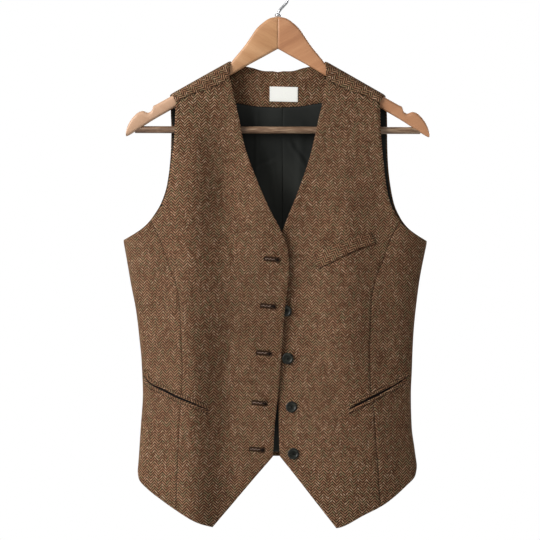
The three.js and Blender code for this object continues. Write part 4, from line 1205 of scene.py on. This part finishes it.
ARM_HALF, ARM_ROUNDING, ARM_EDGE_RISE = 7 * MM, 4.8 * MM, 5.4 * MM
ARM = table("x top bottom", [
    [0, 62, 107.6], [8, 63, 112], [14, 65.3, 115.4], [22, 71, 119.8], [30.5, 79, 124.4],
    [39, 91.5, 129], [47.7, 104, 134], [58, 116.6, 140], [63, 122.6, 143], [66, 126.8, 144.7],
    [68, 128.4, 145.8], [72, 130.3, 148.1], [100, 146.2, 164.6],
    [130, 163.1, 182.1], [156, 177.9, 197.2], [172, 186.8, 206.4], [176.3, 189.1, 209],
    [177.4, 193.4, 209.7], [180.2, 197, 211.4], [183.6, 198.4, 213.6], [187, 197.3, 215.8],
    [190.6, 196, 218], [194.5, 196.8, 220.6], [199, 199.2, 223.6], [203.5, 203.6, 226.5],
    [207.7, 208.8, 229.1], [211.5, 215.4, 231.2], [213.8, 221.6, 232], [214.8, 227, 231.6],
])
ARM_TOP, ARM_BOTTOM = through(ARM["x"], ARM["top"]), through(ARM["x"], ARM["bottom"])


def beech(name, slope, colours):
    """Lacquered beech: long soft growth bands along the board and short dark flecks, blended along the arm
    towards an end colour, which on the right arm is a pale painted highlight.
    """
    wood = Finish(name)
    place = wood.object_place()
    turned = wood.add("ShaderNodeMapping", sockets={"Vector": place, "Rotation": (0.0, slope, 0.0)})
    band = wood.noise(wood.stretched(turned, 7.0, 60.0, 90.0), detail=4.0)
    pore = wood.noise(wood.stretched(turned, 60.0, 700.0, 900.0))
    fleck = wood.stretched(turned, 170.0, 900.0, 1400.0)
    spot = wood.add("ShaderNodeTexVoronoi", sockets={"Vector": fleck, "Scale": 1.0})
    pale, middle, dark, tip = colours
    reach_out = wood.part(place, 0).maths("ABSOLUTE")
    grain = wood.ramp(band * 0.75 + pore * 0.25, (0.3, pale), (0.5, middle), (0.72, dark))
    marks = wood.step(spot, 0.22, 0.1) * 0.35
    end_tone_and_highlight = wood.blend(wood.step(reach_out, 30 * MM, 150 * MM) * (0.9 - 0.5 * band), grain, tip)
    return wood.shade(Base_Color=wood.blend(marks, end_tone_and_highlight, dark), Roughness=0.42 + 0.1 * pore,
                      Normal=wood.bump(pore, 0.15, 0.1 * MM), Coat_Weight=0.25, Coat_Roughness=0.3)


def make_arm(sign, side, finish):
    """A loft along the arm: a grid whose columns go round its rounded section and whose rows are stations."""
    around = 24
    turns = np.arange(around) * 2 * math.pi / around
    notch_start, tip_start, tip = 170 * MM, 213.8 * MM, [214.4 * MM, 214.8 * MM]
    along = np.concatenate([np.linspace(ARM["x"][0], notch_start, 60),
                            np.linspace(notch_start + 1 * MM, tip_start, 60), tip])
    form = bmesh.new()
    bmesh.ops.create_grid(form, x_segments=around, y_segments=len(along) - 1, size=0.5)
    for vert in form.verts:
        turn = turns[round((vert.co.x + 0.5) * around) % around]
        x = along[round((vert.co.y + 0.5) * (len(along) - 1))]
        out, up = math.cos(turn), math.sin(turn)
        top, bottom = ARM_TOP(x), ARM_BOTTOM(x)
        rise = min(ARM_EDGE_RISE, (bottom - top) * 0.45)
        y = math.copysign(ARM_HALF - ARM_ROUNDING, out) + ARM_ROUNDING * out
        vert.co = (sign * x, y, (-top - rise if up > 0 else -bottom + rise) + rise * up)
    bmesh.ops.remove_doubles(form, verts=form.verts, dist=0.001 * MM)
    bmesh.ops.holes_fill(form, edges=form.edges)
    bmesh.ops.recalc_face_normals(form, faces=form.faces)
    piece = built(f"{side}_arm", form, finish)
    eased(piece, 0.15 * MM, 1, 60)
    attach(piece, "root")
    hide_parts(f"hanger_arm_{side}")


# The right arm is painted a little paler than the left, as painted light from the key lamp on its side.
make_arm(-1, "right", beech("beech right arm", -SHOULDER_ANGLE, [
    (0.56, 0.31, 0.155), (0.47, 0.24, 0.108), (0.36, 0.165, 0.068), (0.52, 0.34, 0.235)]))
make_arm(1, "left", beech("beech left arm", SHOULDER_ANGLE, [
    (0.51, 0.255, 0.125), (0.43, 0.20, 0.092), (0.33, 0.14, 0.062), (0.41, 0.195, 0.095)]))

# The bar
# A round bar glued into sockets in both arms. Its dark stain is worn pale in short streaks.

BAR_RADIUS, BAR_DOWN, BAR_END = 5 * MM, 222.5 * MM, 202 * MM


def worn_stain():
    """Dark stain, worn through in streaks, and more so towards the left arm."""
    stain = Finish("bar")
    place = stain.object_place()
    wear = stain.noise(stain.stretched(place, 40.0, 420.0, 420.0), detail=5.0, roughness=0.65)
    colour = stain.ramp(wear + stain.part(place, 0) * 0.4, (0.3, (0.075, 0.036, 0.018)),
                        (0.5, (0.17, 0.095, 0.052)), (0.68, (0.36, 0.25, 0.16)))
    return stain.shade(Base_Color=colour, Roughness=0.5, Normal=stain.bump(wear, 0.3, 0.15 * MM))


def make_bar():
    form = bmesh.new()
    along_x = Matrix.Translation((0, 0, -BAR_DOWN)) @ Matrix.Rotation(math.pi / 2, 4, "Y")
    bmesh.ops.create_cone(form, cap_ends=True, segments=32, radius1=BAR_RADIUS, radius2=BAR_RADIUS,
                          depth=2 * BAR_END, matrix=along_x)
    piece = built("bar", form, worn_stain())
    eased(piece, 0.4 * MM, 2, 60)
    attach(piece, "root")
    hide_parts("hanger_bar")


make_bar()

# The hook
# Plated steel wire, bent round to hang on a rail, with its foot screwed into the wood through a ferrule.

WIRE_RADIUS, HOOK_INNER, WOOD_TOP = 1.9 * MM, 20 * MM, 62 * MM
HOOK_START, HOOK_END = -50, 205
STEM_IN_FERRULE = 3 * MM
FERRULE = table("radius height", [[0.01, 0], [4.5, 0], [4.5, 2.6], [3.9, 3.6], [2.6, 4.0], [0.01, 4.0]])


def plated():
    steel = Finish("plated steel")
    haze = steel.noise(steel.object_place(), 300.0, 3.0)
    colour = steel.blend(haze, (0.52, 0.53, 0.55), (0.68, 0.69, 0.71))
    return steel.shade(Base_Color=colour, Metallic=1.0, Roughness=0.16 + 0.16 * haze)


def make_hook():
    """The bend is spun from a ring of wire, the stem is drawn down from it, and the ferrule is turned."""
    centre = Vector((0, 0, -HOOK_INNER))
    radius = HOOK_INNER + WIRE_RADIUS
    foot = -WOOD_TOP + PIECE_GAP
    start = math.radians(HOOK_START)
    bend_start = centre + Vector((radius * math.cos(start), 0, radius * math.sin(start)))
    heading = Vector((-math.sin(start), 0, math.cos(start)))
    turned = heading.to_track_quat("Z", "Y").to_matrix().to_4x4()
    form = bmesh.new()
    ring = bmesh.ops.create_circle(form, segments=16, radius=WIRE_RADIUS,
                                   matrix=Matrix.Translation(bend_start) @ turned)["verts"]
    rim = list(form.edges)
    bmesh.ops.spin(form, geom=ring + rim, cent=centre, axis=(0, -1, 0),
                   angle=math.radians(HOOK_END - HOOK_START), steps=44)
    fall = foot + STEM_IN_FERRULE - bend_start.z
    stem = [Vector((bend_start.x * (1 - smooth(share)), 0, bend_start.z + fall * share))
            for share in np.linspace(0, 1, 13)]
    for here, after in zip(stem, stem[1:]):
        grown = bmesh.ops.extrude_edge_only(form, edges=rim)["geom"]
        ring = [item for item in grown if isinstance(item, bmesh.types.BMVert)]
        rim = [item for item in grown if isinstance(item, bmesh.types.BMEdge)
               and all(vert in ring for vert in item.verts)]
        bmesh.ops.translate(form, verts=ring, vec=after - here)
    bmesh.ops.holes_fill(form, edges=form.edges)
    bmesh.ops.recalc_face_normals(form, faces=form.faces)
    ferrule = [form.verts.new((out, 0, foot + up)) for out, up in zip(*FERRULE.values())]
    edges = [form.edges.new(pair) for pair in zip(ferrule, ferrule[1:])]
    bmesh.ops.spin(form, geom=ferrule + edges, cent=(0, 0, 0), axis=(0, 0, 1), angle=2 * math.pi, steps=28,
                   use_merge=True)
    bmesh.ops.remove_doubles(form, verts=form.verts, dist=0.02 * MM)
    bmesh.ops.recalc_face_normals(form, faces=form.faces)
    piece = built("hook", form, plated())
    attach(piece, "root")
    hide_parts("hanger_hook")


make_hook()

# The studio
# A pale floor well below the hem, a white surround, a large soft light from the upper left, weak ones from
# the right, the front and behind, and a level camera straight in front, rolled by a fifth of a degree.

FLOOR_DOWN, LIT_DOWN, AMBIENT = 1.9, 0.42, 0.23
LIGHTS = [
    ("key", (-2.38, -1.48, 0.7), 1.6, 127), ("fill", (2.9, -1.1, -0.3), 1.5, 12),
    ("front light", (0.1, -2.9, 1.4), 0.8, 12), ("back light", (0.9, 2.6, 0.7), 2.0, 60),
]
CAMERA_DISTANCE, FRAME_WIDTH, SENSOR, CAMERA_ROLL = 6.0, 0.7622, 36, math.radians(0.2)
CAMERA_X, CAMERA_DOWN, FRONT_PLANE = -10.2 * MM, 420.7 * MM, 20 * MM


def make_studio():
    form = bmesh.new()
    below = Matrix.Translation((0, 0, -FLOOR_DOWN))
    bmesh.ops.create_grid(form, x_segments=1, y_segments=1, size=3, matrix=below)
    built("floor", form, Finish("pale floor").shade(Base_Color=(0.8, 0.8, 0.79), Roughness=0.8))

    world = bpy.data.worlds.new("white surround")
    bpy.context.scene.world = world
    world.use_nodes = True
    tree = world.node_tree
    tree.nodes.clear()
    path, mix = tree.nodes.new("ShaderNodeLightPath"), tree.nodes.new("ShaderNodeMixShader")
    ambient, seen = tree.nodes.new("ShaderNodeBackground"), tree.nodes.new("ShaderNodeBackground")
    ambient.inputs["Color"].default_value = (1, 0.99, 0.97, 1)
    ambient.inputs["Strength"].default_value = AMBIENT
    seen.inputs["Color"].default_value = (1, 1, 1, 1)
    output = tree.nodes.new("ShaderNodeOutputWorld")
    tree.links.new(path.outputs["Is Camera Ray"], mix.inputs[0])
    tree.links.new(ambient.outputs[0], mix.inputs[1])
    tree.links.new(seen.outputs[0], mix.inputs[2])
    tree.links.new(mix.outputs[0], output.inputs["Surface"])

    target = Vector((0, 0, -LIT_DOWN))
    for name, place, size, power in LIGHTS:
        lamp = bpy.data.lights.new(name, "AREA")
        lamp.size, lamp.energy = size, power
        light = bpy.data.objects.new(name, lamp)
        light.location = place
        light.rotation_euler = (target - Vector(place)).to_track_quat("-Z", "Y").to_euler()
        bpy.context.collection.objects.link(light)

    view = bpy.data.cameras.new("camera")
    view.sensor_width, view.lens = SENSOR, SENSOR * CAMERA_DISTANCE / FRAME_WIDTH
    camera = bpy.data.objects.new("camera", view)
    camera.location = (CAMERA_X, -CAMERA_DISTANCE - FRONT_PLANE, -CAMERA_DOWN)
    camera.rotation_euler = (math.pi / 2, -CAMERA_ROLL, 0)
    bpy.context.collection.objects.link(camera)
    bpy.context.scene.camera = camera
    bpy.context.scene.view_settings.view_transform = "Standard"


make_studio()
